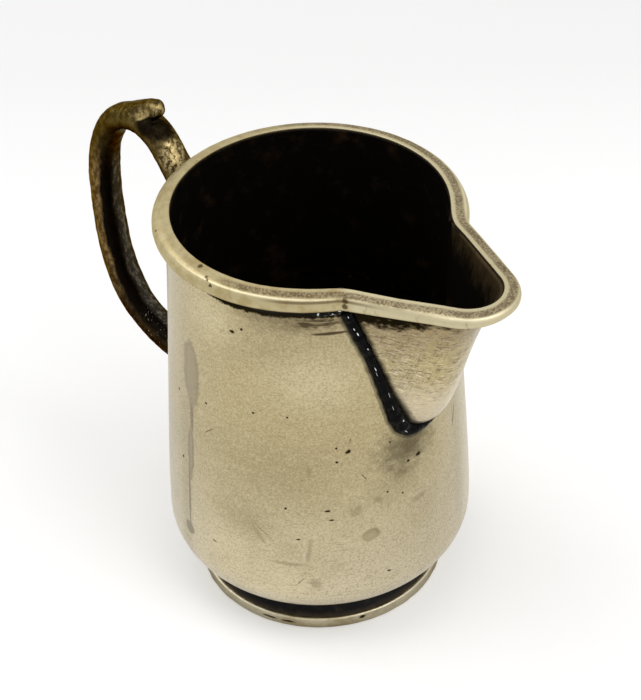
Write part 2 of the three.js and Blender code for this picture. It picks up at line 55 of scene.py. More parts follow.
# The jug's sizes, in millimetres and degrees.
RIM_HEIGHT = 100
MOUTH_RADIUS = 31.2
BELLY_RADIUS = 35.4
BELLY_HEIGHT = 18.3
BASE_HEIGHT = 8.3
BELLY_RUN = 15.3
MOUTH_RUN = 30.7
MOUTH_LEAN = 0.94
WALL = 1.2
SPOUT_WALL = 0.8
FOOT_RADIUS = 28.9
FOOT_WIRE_HEIGHT = 2.9
FOOT_WIRE_WIDTH = 2.8
FOOT_WIRE_EDGE = 0.5
NECK_RADIUS = 25.1
NECK_HOLLOW = 1.1
WIRE_HEIGHT = 3.7
WIRE_INNER, WIRE_OUTER = -1.1, 2.9
LIP_TIP_HEIGHT = 2.2
SPOUT_PROJECTION = 21.2
SPOUT_DEPTH = 41.9
NEAR_HALF_ANGLE = 34
FAR_HALF_ANGLE = 32.2
SPOUT_FOOT_ANGLE = 9.5
SPOUT_SKEW = 2.1
NOSE_RADIUS = 8.4
NOSE_FOOT_RADIUS = 6.8
KEEL_SWELL = 6.8
KEEL_SWELL_RISE = 3
KEEL_FLARE = 11.5
KEEL_FLARE_DROP = 17
RIM_SHEET_DROP = 0.5
LIP_SHEET_DROP = 0.9
SEAM_TUCK = 0.5

HANDLE_PROJECTION = 34
HANDLE_REACH_DROP = 26
HANDLE_CREST_DROP = 1.3
HANDLE_CREST_OUT = 22.4
HANDLE_UPPER_DROP = 20
HANDLE_LOWER_RISE = 18
HANDLE_WIDTH = 8
HANDLE_THICKNESS = 6.5
HANDLE_UPPER_SHARE = 0.94
HANDLE_BUILD_FROM, HANDLE_BUILD_TO = 0.2, 0.65
UPPER_ROOT_FLARE, LOWER_ROOT_FLARE = 1.35, 1.04
HANDLE_ROOT_RUN = 11
SPUR_LENGTH = 7
SPUR_RISE = 7.7
SPUR_TIP = 3.4
SCOOP_PLACE = 0.78
SCOOP_RADIUS = 4.2
SCOOP_DEPTH = 1.3

BASE_CORNER = BELLY_HEIGHT - BASE_HEIGHT
WIRE_FOOT = RIM_HEIGHT - WIRE_HEIGHT
SPOUT_FOOT = RIM_HEIGHT - SPOUT_DEPTH

# How finely the pieces are drawn.
SPOUT_ROWS = 84
SPOUT_HALF_COLUMNS = 44
BODY_STEPS = 225
FOOT_STEPS = 241
HANDLE_STATIONS = 260
BEAD_STATIONS = 300
FILLET_STATIONS = 400
CORE_STEPS = 200
NECK_POINTS = 14
CAST_VOXEL = 0.3
MERGE = 0.002  # points this near to each other are joined
FAR_AWAY = 1e9  # more than any distance here


# Curves of the jug.

def bezier(points, share):
    """Points of a cubic curve at shares of its run."""
    share = np.asarray(share, float)[..., None]
    a, b, c, d = (np.asarray(point, float) for point in points)
    rest = 1 - share
    return a * rest ** 3 + 3 * b * rest ** 2 * share + 3 * c * rest * share ** 2 + d * share ** 3


def bend(first, middle, last, count):
    """Points of a curve that bends from its first to its last point, drawn towards a middle one."""
    shares = np.linspace(0, 1, count)
    return [first * (1 - t) ** 2 + 2 * middle * t * (1 - t) + last * t * t for t in shares]


WALL_CURVE = (
    (BELLY_RADIUS, BELLY_HEIGHT),
    (BELLY_RADIUS, BELLY_HEIGHT + BELLY_RUN),
    (MOUTH_RADIUS + MOUTH_LEAN, RIM_HEIGHT - MOUTH_RUN),
    (MOUTH_RADIUS, RIM_HEIGHT),
)
wall_table = bezier(WALL_CURVE, np.linspace(0, 1, 800))


def wall_radius(height):
    """The outside of the wall at a height above the belly."""
    return np.interp(height, wall_table[:, 1], wall_table[:, 0])


def wall_points(heights, inward=0.0):
    """The wall's outline as (radius, height) points."""
    return [(float(wall_radius(height)) - inward, height) for height in heights]


foot_of_spout = float(wall_radius(SPOUT_FOOT))
KEEL = (
    (foot_of_spout, SPOUT_FOOT),
    (foot_of_spout + KEEL_SWELL, SPOUT_FOOT + KEEL_SWELL_RISE),
    (MOUTH_RADIUS + SPOUT_PROJECTION - KEEL_FLARE, RIM_HEIGHT - KEEL_FLARE_DROP),
    (MOUTH_RADIUS + SPOUT_PROJECTION, RIM_HEIGHT),
)


def seam_angle(height, half_angle):
    """Half of the spout's opening at a height, wider towards the mouth."""
    share = np.clip((height - SPOUT_FOOT) / (WIRE_FOOT - SPOUT_FOOT), 0, 1)
    return math.radians(SPOUT_FOOT_ANGLE + (half_angle - SPOUT_FOOT_ANGLE) * share)


def skew_angle(height):
    """How far the hand-fitted spout has slipped round the body, most at its foot."""
    share = np.clip((RIM_HEIGHT - height) / SPOUT_DEPTH, 0, 1)
    return math.radians(SPOUT_SKEW) * share


def spout_level(share, half_angle):
    """Half of one level of the spout in plan: rounded nose, straight side, and where it leaves the body."""
    x, height = bezier(KEEL, share)
    nose = NOSE_FOOT_RADIUS + (NOSE_RADIUS - NOSE_FOOT_RADIUS) * math.sqrt(share)
    centre = x - nose
    radius = float(wall_radius(height))
    angle = float(seam_angle(height, half_angle))
    seam = np.array((radius * math.cos(angle), radius * math.sin(angle)))
    reach = math.hypot(seam[0] - centre, seam[1])
    turn = math.atan2(seam[1], seam[0] - centre) - math.acos(min(nose / reach, 1))
    touch = np.array((centre + nose * math.cos(turn), nose * math.sin(turn)))
    if np.hypot(*touch) > radius:
        leaving, side = angle, turn
    else:
        cross = (radius ** 2 - nose ** 2 + centre ** 2) / (2 * centre)
        leaving = math.acos(min(cross / radius, 1))
        side = math.atan2(radius * math.sin(leaving), cross - centre)
    half = [(centre + nose * math.cos(side * t), nose * math.sin(side * t)) for t in np.linspace(0, 1, 27)]
    if side == turn:
        half.append(tuple(seam))
    return {"height": float(height), "half": np.array(half), "leaving": leaving,
            "turn": turn, "centre": centre, "nose": nose}


keel_shares = np.linspace(0, 1, 400)
keel_heights = bezier(KEEL, keel_shares)[:, 1]
LAST_SHARE = float(np.interp(RIM_HEIGHT - LIP_SHEET_DROP, keel_heights, keel_shares))
level_shares = LAST_SHARE * np.linspace(0, 1, SPOUT_ROWS) ** 1.6
near_levels = [spout_level(share, NEAR_HALF_ANGLE) for share in level_shares]
far_levels = [spout_level(share, FAR_HALF_ANGLE) for share in level_shares]
level_heights = np.array([level["height"] for level in near_levels])
near_angles = np.array([level["leaving"] for level in near_levels])
far_angles = np.array([level["leaving"] for level in far_levels])


def opening_angle(height, angles):
    """One side of the opening that the spout covers in the body, at a height."""
    return np.where(height > SPOUT_FOOT, np.interp(height, level_heights, angles), 0)


def lengths_along(path):
    """How far along a line each of its points lies."""
    return np.concatenate(([0], np.cumsum(np.linalg.norm(np.diff(path, axis=0), axis=1))))


def spaced(points, count):
    """Spaces points evenly along a line of points."""
    run = lengths_along(points)
    at = np.linspace(0, run[-1], count)
    return np.column_stack([np.interp(at, run, column) for column in np.asarray(points).T])


def unit(vectors):
    return vectors / np.linalg.norm(vectors, axis=1)[:, None]


# Helpers for meshes.

def new_mesh(name, points, faces=(), edges=()):
    mesh = bpy.data.meshes.new(name)
    mesh.from_pydata([tuple(point) for point in points], list(edges), [tuple(face) for face in faces])
    return mesh


def new_object(name, data):
    thing = bpy.data.objects.new(name, data)
    bpy.context.scene.collection.objects.link(thing)
    return thing


def chain(count):
    """The edges of a line of points."""
    return [(i, i + 1) for i in range(count - 1)]


def vectors_of(items, field):
    """One row of three numbers for each item of a mesh."""
    rows = np.empty(len(items) * 3)
    items.foreach_get(field, rows)
    return rows.reshape(-1, 3)


def vertices_of(mesh):
    return vectors_of(mesh.vertices, "co")


def normals_of(mesh):
    return vectors_of(mesh.vertex_normals, "vector")


def move_vertices(mesh, points):
    mesh.vertices.foreach_set("co", np.asarray(points, float).ravel())
    mesh.update()


def grid_faces(rows, columns):
    starts = [row * columns + column for row in range(rows - 1) for column in range(columns - 1)]
    return [(a, a + 1, a + 1 + columns, a + columns) for a in starts]


def add_values(mesh, name, values):
    """Stores one number or vector for each vertex under a name that the trees and finishes read."""
    values = np.asarray(values, float)
    kind, field = ("FLOAT_VECTOR", "vector") if values.ndim == 2 else ("FLOAT", "value")
    mesh.attributes.new(name, kind, "POINT").data.foreach_set(field, values.ravel())


def close_faces(mesh, merge=0.0, recalculate=True):
    """Joins vertices that meet, and turns the faces of a closed mesh outwards."""
    work = bmesh.new()
    work.from_mesh(mesh)
    if merge:
        bmesh.ops.remove_doubles(work, verts=work.verts, dist=merge)
    if recalculate:
        bmesh.ops.recalc_face_normals(work, faces=work.faces)
    work.to_mesh(mesh)
    work.free()
    mesh.update()


def apply_modifiers(thing):
    """Turns what the modifiers make of a thing into its own plain mesh."""
    graph = bpy.context.evaluated_depsgraph_get()
    made = bpy.data.meshes.new_from_object(thing.evaluated_get(graph))
    made.name = thing.name
    thing.modifiers.clear()
    old = thing.data
    thing.data = made
    bpy.data.meshes.remove(old)
    return made


def shade_smooth(mesh):
    mesh.polygons.foreach_set("use_smooth", [True] * len(mesh.polygons))
    mesh.update()


def ripple(points, directions, size, depth, seed):
    """Moves points along their directions by soft noise of a wavelength and a depth."""
    shift = Vector((seed * 17.3, seed * 5.1, seed * 9.7))
    amounts = [noise.noise(Vector(point) / size + shift) for point in points]
    return points + directions * (np.array(amounts)[:, None] * depth)


def place_piece(thing, slot, *nodes):
    """Puts a piece made about the jug's axis in its place, and hides the parts of the model that it stands
    for.
    """
    points = vertices_of(thing.data) * MM
    points[:, 0] += AXIS_X
    move_vertices(thing.data, points)
    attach(thing, "root")
    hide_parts(*nodes)


# Helpers for node trees.

def fill(tree, socket, value):
    """Links a socket to a value of its tree, or sets it to a plain number, place or colour."""
    if isinstance(value, Value):
        tree.links.new(value.socket, socket)
    elif value is not None:
        socket.default_value = (*value, 1) if socket.type == "RGBA" else value


def put(tree, kind, *values, out=None, **settings):
    """Adds a node, fills its open inputs in order, and gives its first output or the one named."""
    node = tree.nodes.new(kind)
    for name, value in settings.items():
        setattr(node, name, value)
    for socket, value in zip([one for one in node.inputs if one.enabled], values):
        fill(tree, socket, value)
    return Value(tree, next(one for one in node.outputs if one.enabled and out in (None, one.name)))


def reckoning(operation, swapped=False):
    """A way to reckon with two values, the second one first where they are swapped."""
    def reckon(self, other):
        pair = (other, self) if swapped else (self, other)
        return put(self.tree, "ShaderNodeMath", *pair, operation=operation)
    return reckon


class Value:
    """What a node gives, written in sums like a number; | takes the larger of two."""

    __add__ = __radd__ = reckoning("ADD")
    __mul__ = __rmul__ = reckoning("MULTIPLY")
    __sub__, __rsub__ = reckoning("SUBTRACT"), reckoning("SUBTRACT", swapped=True)
    __truediv__, __rtruediv__ = reckoning("DIVIDE"), reckoning("DIVIDE", swapped=True)
    __or__ = reckoning("MAXIMUM")

    def __init__(self, tree, socket):
        self.tree = tree
        self.socket = socket

    def number(self, operation, *others):
        return put(self.tree, "ShaderNodeMath", self, *others, operation=operation)

    def whole(self, operation, other):
        return put(self.tree, "FunctionNodeIntegerMath", self, other, operation=operation)

    def vector(self, operation, *others):
        return put(self.tree, "ShaderNodeVectorMath", self, *others, operation=operation)

    def part(self, axis):
        return put(self.tree, "ShaderNodeSeparateXYZ", self, out=axis)

    def with_parts(self, y, z):
        """The vector whose first part is this value."""
        return put(self.tree, "ShaderNodeCombineXYZ", self, y, z)

    def step(self, low, high):
        """Rises smoothly from 0 to 1 between two values, or falls where the first is the larger."""
        if low > high:
            return 1 - self.step(high, low)
        return put(self.tree, "ShaderNodeMapRange", self, low, high, 0, 1, interpolation_type="SMOOTHSTEP")

    def grain(self, size, detail=2, rough=0.5, stretch=None):
        """Noise over a place, of a wavelength in millimetres, longer where it is stretched."""
        place = self.vector("MULTIPLY", tuple(1 / length for length in stretch)) if stretch else self
        return put(self.tree, "ShaderNodeTexNoise", place, 1 / size, detail, rough)

    def dots(self, spacing):
        """How far a place is from the nearest of some scattered dots, in shares of their spacing."""
        return put(self.tree, "ShaderNodeTexVoronoi", self, 1 / spacing, feature="F1")

    def near(self, centre, radius, wobble):
        """1 about a point, fading out with an uneven edge."""
        return (self.vector("DISTANCE", centre) + wobble).step(radius, radius / 2)


def mixed(amount, first, second):
    """A colour or vector between two others."""
    return put(amount.tree, "ShaderNodeMix", amount, first, second, data_type="RGBA")


def union(masks):
    """The largest of several masks."""
    total, *others = masks
    for mask in others:
        total = total | mask
    return total


def tree_with(name, kind, inputs, output=("Geometry", "Geometry")):
    """A new tree with named inputs of (label, socket, value); gives it, its inputs and its result."""
    tree = bpy.data.node_groups.new(name, kind)
    for label, socket, value in inputs:
        made = tree.interface.new_socket(label, in_out="INPUT", socket_type="NodeSocket" + socket)
        if value is not None:
            made.default_value = value
    tree.interface.new_socket(output[0], in_out="OUTPUT", socket_type="NodeSocket" + output[1])
    source = tree.nodes.new("NodeGroupInput")
    sink = tree.nodes.new("NodeGroupOutput")
    return tree, {label: Value(tree, source.outputs[label]) for label, _, _ in inputs}, sink.inputs[0]


def run_tree(thing, tree, **sizes):
    """Runs a geometry tree on a thing with the named sizes, and keeps the plain result."""
    modifier = thing.modifiers.new(tree.name, "NODES")
    modifier.node_group = tree
    keys = {item.name: item.identifier for item in tree.interface.items_tree if item.in_out == "INPUT"}
    for label, value in sizes.items():
        modifier[keys[label.replace("_", " ")]] = value
    bpy.context.view_layer.update()
    apply_modifiers(thing)


def named(tree, label, kind="FLOAT_VECTOR"):
    return put(tree, "GeometryNodeInputNamedAttribute", label, data_type=kind)


def sampled(mesh, value, number, kind="FLOAT_VECTOR"):
    """What a value is at a numbered point of another mesh."""
    return put(mesh.tree, "GeometryNodeSampleIndex", mesh, value, number, data_type=kind, domain="POINT")


def points_in(mesh):
    return put(mesh.tree, "GeometryNodeAttributeDomainSize", mesh, component="MESH")


def new_grid(tree, rows, columns):
    """A grid to be bent into shape, with the row and the column of each of its points."""
    grid = put(tree, "GeometryNodeMeshGrid", 1.0, 1.0, rows, columns)
    index = put(tree, "GeometryNodeInputIndex")
    return grid, index.whole("DIVIDE_FLOOR", columns), index.whole("MODULO", columns)


def moved(mesh, place, offset=None):
    return put(mesh.tree, "GeometryNodeSetPosition", mesh, True, place, offset)


def end_tree(mesh, finish, result):
    """Ends a geometry tree: smooth shading, real geometry, and the finish."""
    soft = put(mesh.tree, "GeometryNodeSetShadeSmooth", mesh, True, True)
    real = put(mesh.tree, "GeometryNodeRealizeInstances", soft)
    fill(mesh.tree, result, put(mesh.tree, "GeometryNodeSetMaterial", real, True, finish))


def build_spun_tree():
    """Spins an outline of radius and height; each of its points has its own first and last angle."""
    tree, given, result = tree_with("spun sheet", "GeometryNodeTree", (
        ("Geometry", "Geometry", None),
        ("steps", "Int", BODY_STEPS),
        ("wave depth", "Float", 0.0),
        ("wave size", "Float", 12.0),
        ("finish", "Material", None),
    ))
    outline, steps = given["Geometry"], given["steps"]
    grid, turn, along = new_grid(tree, steps, points_in(outline))
    place = sampled(outline, put(tree, "GeometryNodeInputPosition"), along)
    first, last = (sampled(outline, named(tree, label, "FLOAT"), along, "FLOAT")
                   for label in ("first", "last"))
    share = turn / steps.whole("SUBTRACT", 1)
    angle = share.number("MULTIPLY_ADD", last - first, first)
    cosine, sine = angle.number("COSINE"), angle.number("SINE")
    radius = place.part("X")
    spot = (radius * cosine).with_parts(radius * sine, place.part("Z"))
    waves = put(tree, "ShaderNodeTexNoise", spot, 1.0 / given["wave size"], 2.0, 0.5)
    offset = cosine.with_parts(sine, 0.0).vector("SCALE", (waves - 0.5) * given["wave depth"])
    merged = put(tree, "GeometryNodeMergeByDistance", moved(grid, spot, offset), True, 0.001)
    end_tree(merged, given["finish"], result)
    return tree


def build_swept_tree():
    """Sweeps a section along a path whose points say which way, and how far, its two axes reach.

    The section can change to a second one, "rounder", by each station's share "round". The mesh keeps
    "run": the place in the section and the length along the path, in millimetres.
    """
    tree, given, result = tree_with("section along a path", "GeometryNodeTree", (
        ("Geometry", "Geometry", None),
        ("section", "Object", None),
        ("lump depth", "Float", 0.0),
        ("lump size", "Float", 1.0),
        ("lump stretch", "Float", 1.0),
        ("finish", "Material", None),
    ))
    path = given["Geometry"]
    section = put(tree, "GeometryNodeObjectInfo", given["section"], out="Geometry")
    grid, station, side = new_grid(tree, points_in(path), points_in(section))
    position = put(tree, "GeometryNodeInputPosition")
    across, up = (sampled(path, named(tree, label), station) for label in ("across", "up"))
    along, roundness = (sampled(path, named(tree, label, "FLOAT"), station, "FLOAT")
                        for label in ("along", "round"))
    corner = put(tree, "ShaderNodeMix", roundness, sampled(section, position, side),
                 sampled(section, named(tree, "rounder"), side), data_type="VECTOR")
    reach, rise = corner.part("X"), corner.part("Y")
    spot = sampled(path, position, station).vector("ADD", across.vector("SCALE", reach))
    spot = spot.vector("ADD", up.vector("SCALE", rise))
    run = (reach * across.vector("LENGTH")).with_parts(rise * up.vector("LENGTH"), along)
    marked = put(tree, "GeometryNodeStoreNamedAttribute", grid, True, "run", run,
                 data_type="FLOAT_VECTOR", domain="POINT")
    merged = put(tree, "GeometryNodeMergeByDistance", moved(marked, spot), True, 0.0005)
    stretch = put(tree, "ShaderNodeCombineXYZ", 1.0, 1.0, 1.0 / given["lump stretch"])
    flat = named(tree, "run").vector("MULTIPLY", stretch)
    lumps = put(tree, "ShaderNodeTexNoise", flat, 1.0 / given["lump size"], 3.0, 0.55)
    offset = put(tree, "GeometryNodeInputNormal").vector("SCALE", (lumps - 0.5) * given["lump depth"])
    end_tree(moved(merged, None, offset), given["finish"], result)
    return tree


def build_mark_group():
    """A stain or speck: 1 inside an oval about an angle and a height, with an uneven soft edge."""
    labels = ("angle", "height", "wobble", "centre", "level", "half width", "half height", "lean", "softness")
    tree, given, result = tree_with("mark", "ShaderNodeTree", [(label, "Float", 0.0) for label in labels],
                                    ("mask", "Float"))
    up = given["height"] - given["level"]
    across = (given["angle"] - given["centre"]) * (BELLY_RADIUS - 1) - up * given["lean"]
    across = across / given["half width"]
    up = up / given["half height"]
    far = (up * up + across * across).number("SQRT") + given["wobble"]
    share = (1 + given["softness"] - far) / (given["softness"] * 2)
    fill(tree, result, share.step(0, 1))
    return tree


SPUN = build_spun_tree()
SWEPT = build_swept_tree()
MARK = build_mark_group()


def spin(name, outline, steps, finish, first=0.0, last=2 * math.pi, waves=(0.0, 12.0)):
    """Spins an outline of (radius, height) points between two angles, one pair or one for each point."""
    outline = np.asarray(outline, float)
    count = len(outline)
    points = np.column_stack((outline[:, 0], np.zeros(count), outline[:, 1]))
    mesh = new_mesh(name, points, edges=chain(count))
    add_values(mesh, "first", np.broadcast_to(first, count))
    add_values(mesh, "last", np.broadcast_to(last, count))
    thing = new_object(name, mesh)
    run_tree(thing, SPUN, steps=steps, wave_depth=waves[0], wave_size=waves[1], finish=finish)
    return thing


def closed_ends(path, across, up):
    """Draws both ends of a path's section together to a point."""
    return (np.vstack((path[:1], path, path[-1:])), np.vstack((across[:1] * 0, across, across[-1:] * 0)),
            np.vstack((up[:1] * 0, up, up[-1:] * 0)))


def sweep(name, path, across, up, section, finish, lumps=(0.0, 1.0, 1.0), rounder=None, round_shares=0.0):
    """Sweeps a closed section of (across, up) points along a path; lumps are depth, size and stretch."""
    mesh = new_mesh(name, path, edges=chain(len(path)))
    add_values(mesh, "across", across)
    add_values(mesh, "up", up)
    add_values(mesh, "along", lengths_along(path))
    add_values(mesh, "round", np.broadcast_to(round_shares, len(path)))

    def loop(points):
        return np.column_stack((np.vstack((points, points[:1])), np.zeros(len(points) + 1)))

    shape = new_mesh(name + "_section", loop(section), edges=chain(len(section) + 1))
    add_values(shape, "rounder", loop(section if rounder is None else rounder))
    helper = new_object(name + "_section", shape)
    thing = new_object(name, mesh)
    run_tree(thing, SWEPT, section=helper, lump_depth=lumps[0], lump_size=lumps[1], lump_stretch=lumps[2],
             finish=finish)
    bpy.data.objects.remove(helper)
    close_faces(thing.data)
    return thing


# Finishes: a ground colour with coats of dirt, wear, rubbed metal, and painted light and shade laid over it.

PITCH = (0.0045, 0.0032, 0.0022)
# The black of soot, also laid as painted shade under the mouth wire.
SOOT_AND_SHADE = (0.016, 0.012, 0.006)
WET_GLINT = (0.75, 0.75, 0.73)
NICK = (0.05, 0.03, 0.012)
FILED_DARK = (0.16, 0.105, 0.052)
FILED_BRIGHT = (0.92, 0.83, 0.62)


class Finish:
    """A material that knows each place on the jug: x, y and height in millimetres, and the angle."""

    def __init__(self, name, metallic=1.0, roughness=0.4):
        self.material = bpy.data.materials.new(name)
        self.material.use_nodes = True
        self.tree = self.material.node_tree
        self.shader = self.tree.nodes["Principled BSDF"]
        self.set("Metallic", metallic)
        self.set("Roughness", roughness)
        place = put(self.tree, "ShaderNodeTexCoord", out="Object")
        self.place = place.vector("SUBTRACT", (AXIS_X, 0, 0)).vector("SCALE", 1 / MM)
        self.x, self.y, self.height = (self.place.part(axis) for axis in "XYZ")
        self.angle = self.y.number("ARCTAN2", self.x)
        self.colour = None

    def set(self, socket, value):
        fill(self.tree, self.shader.inputs[socket], value)

    def stored(self, name, out="Fac"):
        """A value that the mesh keeps."""
        return put(self.tree, "ShaderNodeAttribute", out=out, attribute_name=name)

    def around(self, low, high):
        """A step over the angle about the axis, in degrees."""
        return self.angle.step(math.radians(low), math.radians(high))

    def mark(self, wobble, degrees, level, wide, high, lean, softness):
        return put(self.tree, "ShaderNodeGroup", self.angle, self.height, wobble, math.radians(degrees),
                   level, wide, high, lean, softness, node_tree=MARK)

    def marks(self, wobble, places, softness):
        """Several marks in one, each given by angle, height, half width, half height and lean."""
        return union([self.mark(wobble, *place, softness=softness) for place in places])

    def ground(self, amount, first, second):
        self.colour = mixed(amount, first, second)

    def paint(self, amount, colour):
        """Lays a coat over the colour."""
        self.colour = mixed(amount, self.colour, colour)

    def done(self, relief=None, strength=0.5, depth=0.06):
        """Gives the shader its colour and a fine relief of a depth in millimetres."""
        self.set("Base Color", self.colour)
        if relief is not None:
            self.set("Normal", put(self.tree, "ShaderNodeBump", strength, depth * MM, 0.1, relief))
        return self.material


# Pits and specks of the front: angle in degrees, height, half width and half height in millimetres, lean.
PITS = (
    (-33.8, 57.9, 0.5, 0.42, 0.4), (-38.3, 59.1, 0.22, 0.22, 0), (-38.3, 55.4, 0.26, 0.24, 0),
    (-69.4, 67.2, 0.26, 0.28, 0), (-56.1, 67.5, 0.26, 0.22, 0), (-77.6, 86.9, 0.5, 0.32, 0),
    (-73.3, 88.2, 0.26, 0.26, 0), (-57.7, 42.6, 0.22, 0.28, 0.3), (-42.3, 42.1, 0.48, 0.2, 0),
    (-40.9, 39.5, 0.5, 0.18, 0), (-4.8, 50.5, 0.5, 0.4, 0), (-9.6, 50.2, 0.3, 0.26, 0),
    (-17.3, 57.4, 0.2, 0.2, 0), (-19.2, 44.1, 0.22, 0.2, 0), (-12.8, 42.1, 0.2, 0.18, 0),
    (-19.8, 21.2, 0.34, 0.22, 0), (-53.4, 34.0, 0.34, 0.2, 0.2), (-91.4, 64.3, 0.3, 0.2, 0),
    (-110.6, 61.2, 0.24, 0.34, 0), (-107.4, 43.3, 0.24, 0.26, 0), (-88.4, 26.1, 0.36, 0.16, 0),
)
PIT_SPREAD = 1.25  # how far the dirt of a pit reaches past it
# Thin scratches.
SCRATCHES = (
    (-90.1, 57.2, 0.15, 1.2, 1.1), (-67.2, 35.2, 0.11, 1.6, -1.2), (-53.0, 21.5, 0.12, 1.0, 0.8),
    (18.6, 52.1, 0.18, 2.4, 0.3), (-28.3, 50.2, 0.13, 1.0, -0.6), (-33.0, 60.6, 0.12, 0.8, 0.3),
)
# The lens-shaped stain on the left with its stem, and its paler middle.
LENS = (
    (-100.5, 69.3, 2.9, 8.9, -0.03), (-100.6, 59.0, 0.7, 6.0, -0.02), (-101.5, 47.0, 1.15, 7.4, 0.02),
    (-102.8, 34.5, 0.42, 9.2, 0), (-103.4, 23.8, 1.7, 1.8, 0),
)
LENS_CORE = ((-100.5, 69.0, 2.3, 8.0, -0.03), (-101.5, 47.0, 0.65, 6.4, 0.02))
# The clear oval stain and its middle, and the faint smudges.
OVAL = (-26.5, 33.4, 2.0, 1.7, 0.3)
OVAL_CORE = (-26.9, 33.1, 1.65, 1.35, 0.3)
SMUDGES = (
    (-31.6, 41.2, 1.3, 1.5, 0.4), (-22.9, 42.7, 0.9, 0.9, -0.5), (-5.5, 38.6, 1.9, 0.9, 0.6),
    (-8.4, 54.5, 2.4, 2.2, 0), (-13.0, 47.7, 1.8, 1.6, 0.2), (-48.7, 53.2, 0.5, 1.2, 0),
    (-68.5, 33.8, 0.6, 2.4, -0.6), (-57.5, 26.6, 4.2, 0.5, 0.05), (-49.4, 31.0, 0.5, 3.0, 0.1),
    (-47.6, 20.8, 1.2, 1.6, -0.3),
)
# Broad dim and pale places of the wall; the two tall narrow dim bands, at -105.5 and 20.5 degrees towards the
# jug's sides, are painted shade.
DIM_PLACES_AND_SHADE_BANDS = (
    (-57.5, 52, 13, 9, 0), (-53.0, 87.0, 11, 6, 0), (-105.5, 42, 2.2, 30, 0), (20.5, 52, 2.6, 26, 0),
    (-14.0, 46, 7, 4, 0), (-74.0, 38, 6, 5, 0),
)
PALE_PLACES = ((-45.0, 77.0, 9, 6.5, 0), (-84.0, 25, 9, 7, 0), (-66.0, 21, 9, 5, 0), (-88.0, 88, 6, 5, 0))
# Burnt plate: a blob by the seam, the soot under the spout's foot, and three marks under the mouth wire.
BLOB = (-24.6, 78.4, 0.9, 1.0, 0)
UNDER_SPOUT = (-10.0, 54.5, 6.5, 5.2, 0)
SMEAR = (-50.0, 92.6, 14.0, 2.6, 0)
BAND = (-42.5, 92.0, 6.6, 1.3, 0)
TARNISH = (-38.8, 89.2, 4.4, 0.36, 0.02)
# Nicks of the foot ring, and its front, beside which the ring's sides are painted paler as a painted
# reflection of the table.
RING_NICKS = ((-27.0, 2.0, 0.9, 0.5, 0), (-71, 1.5, 2.2, 0.3, 0), (-62, 1.4, 2.0, 0.3, 0))
RING_FRONT = (-45.0, 1.5, 13.0, 60.0, 0)
# Strokes of the file on the spout: their turn in radians, strength and colour.
FILE_STROKES = ((0.12, 0.95, FILED_DARK), (1.2, 0.65, FILED_DARK), (-0.35, 0.45, FILED_BRIGHT))


def new_plate(name):
    """Worn plate, painted paler low down as a painted reflection of the white table, with the grains that its
    dirt follows.
    """
    plate = Finish(name)
    place, height = plate.place, plate.height
    plate.broad = place.grain(13, 4, 0.6)
    plate.patchy = place.grain(3, 4, 0.65, (1, 1, 0.6))
    plate.fine = place.grain(0.42, 3, 0.7, (1.2, 1.2, 1))
    plate.spun = place.grain(0.5, 3, 0.6, (12, 12, 1))
    plate.edge = plate.patchy - 0.5
    plate.speck = place.grain(0.8) - 0.5
    plate.bead = plate.stored("bead")
    plate.relief = plate.fine * 0.8 + plate.patchy
    # Paler low down and palest near the base: a painted reflection of the white table.
    plate.ground(height.step(62, 16), (0.435, 0.357, 0.188), (0.55, 0.475, 0.325))
    plate.paint(0.5 * height.step(30, 13), (0.68, 0.60, 0.43))
    plate.paint(0.3 * plate.broad.step(0.44, 0.66), (0.345, 0.285, 0.15))
    return plate


def lay_grain(plate):
    """The mottle of the plate, the fine rings of the spinning lathe, and dark and bright specks."""
    plate.paint(0.2 * plate.patchy.step(0.5, 0.75), (0.60, 0.53, 0.35))
    plate.paint(0.35 * plate.spun.step(0.52, 0.72), (0.29, 0.235, 0.12))
    plate.paint(0.52 * plate.fine.step(0.48, 0.66), (0.25, 0.20, 0.095))
    plate.paint(0.24 * plate.fine.step(0.5, 0.34), (0.74, 0.67, 0.48))


def plate_done(plate, dull):
    """Ends a plate finish, dull where it is sooty or pitted, and where shade is painted under the wire."""
    plate.set("Roughness", dull * 0.2 + (plate.patchy * 0.22 + 0.24))
    plate.set("Coat Weight", dull * -0.3 + 0.3)
    plate.set("Coat Roughness", 0.25)
    plate.set("Specular Tint", mixed(dull, (1, 1, 1), (0.12, 0.1, 0.07)))
    return plate.done(plate.relief, strength=0.4, depth=0.05)


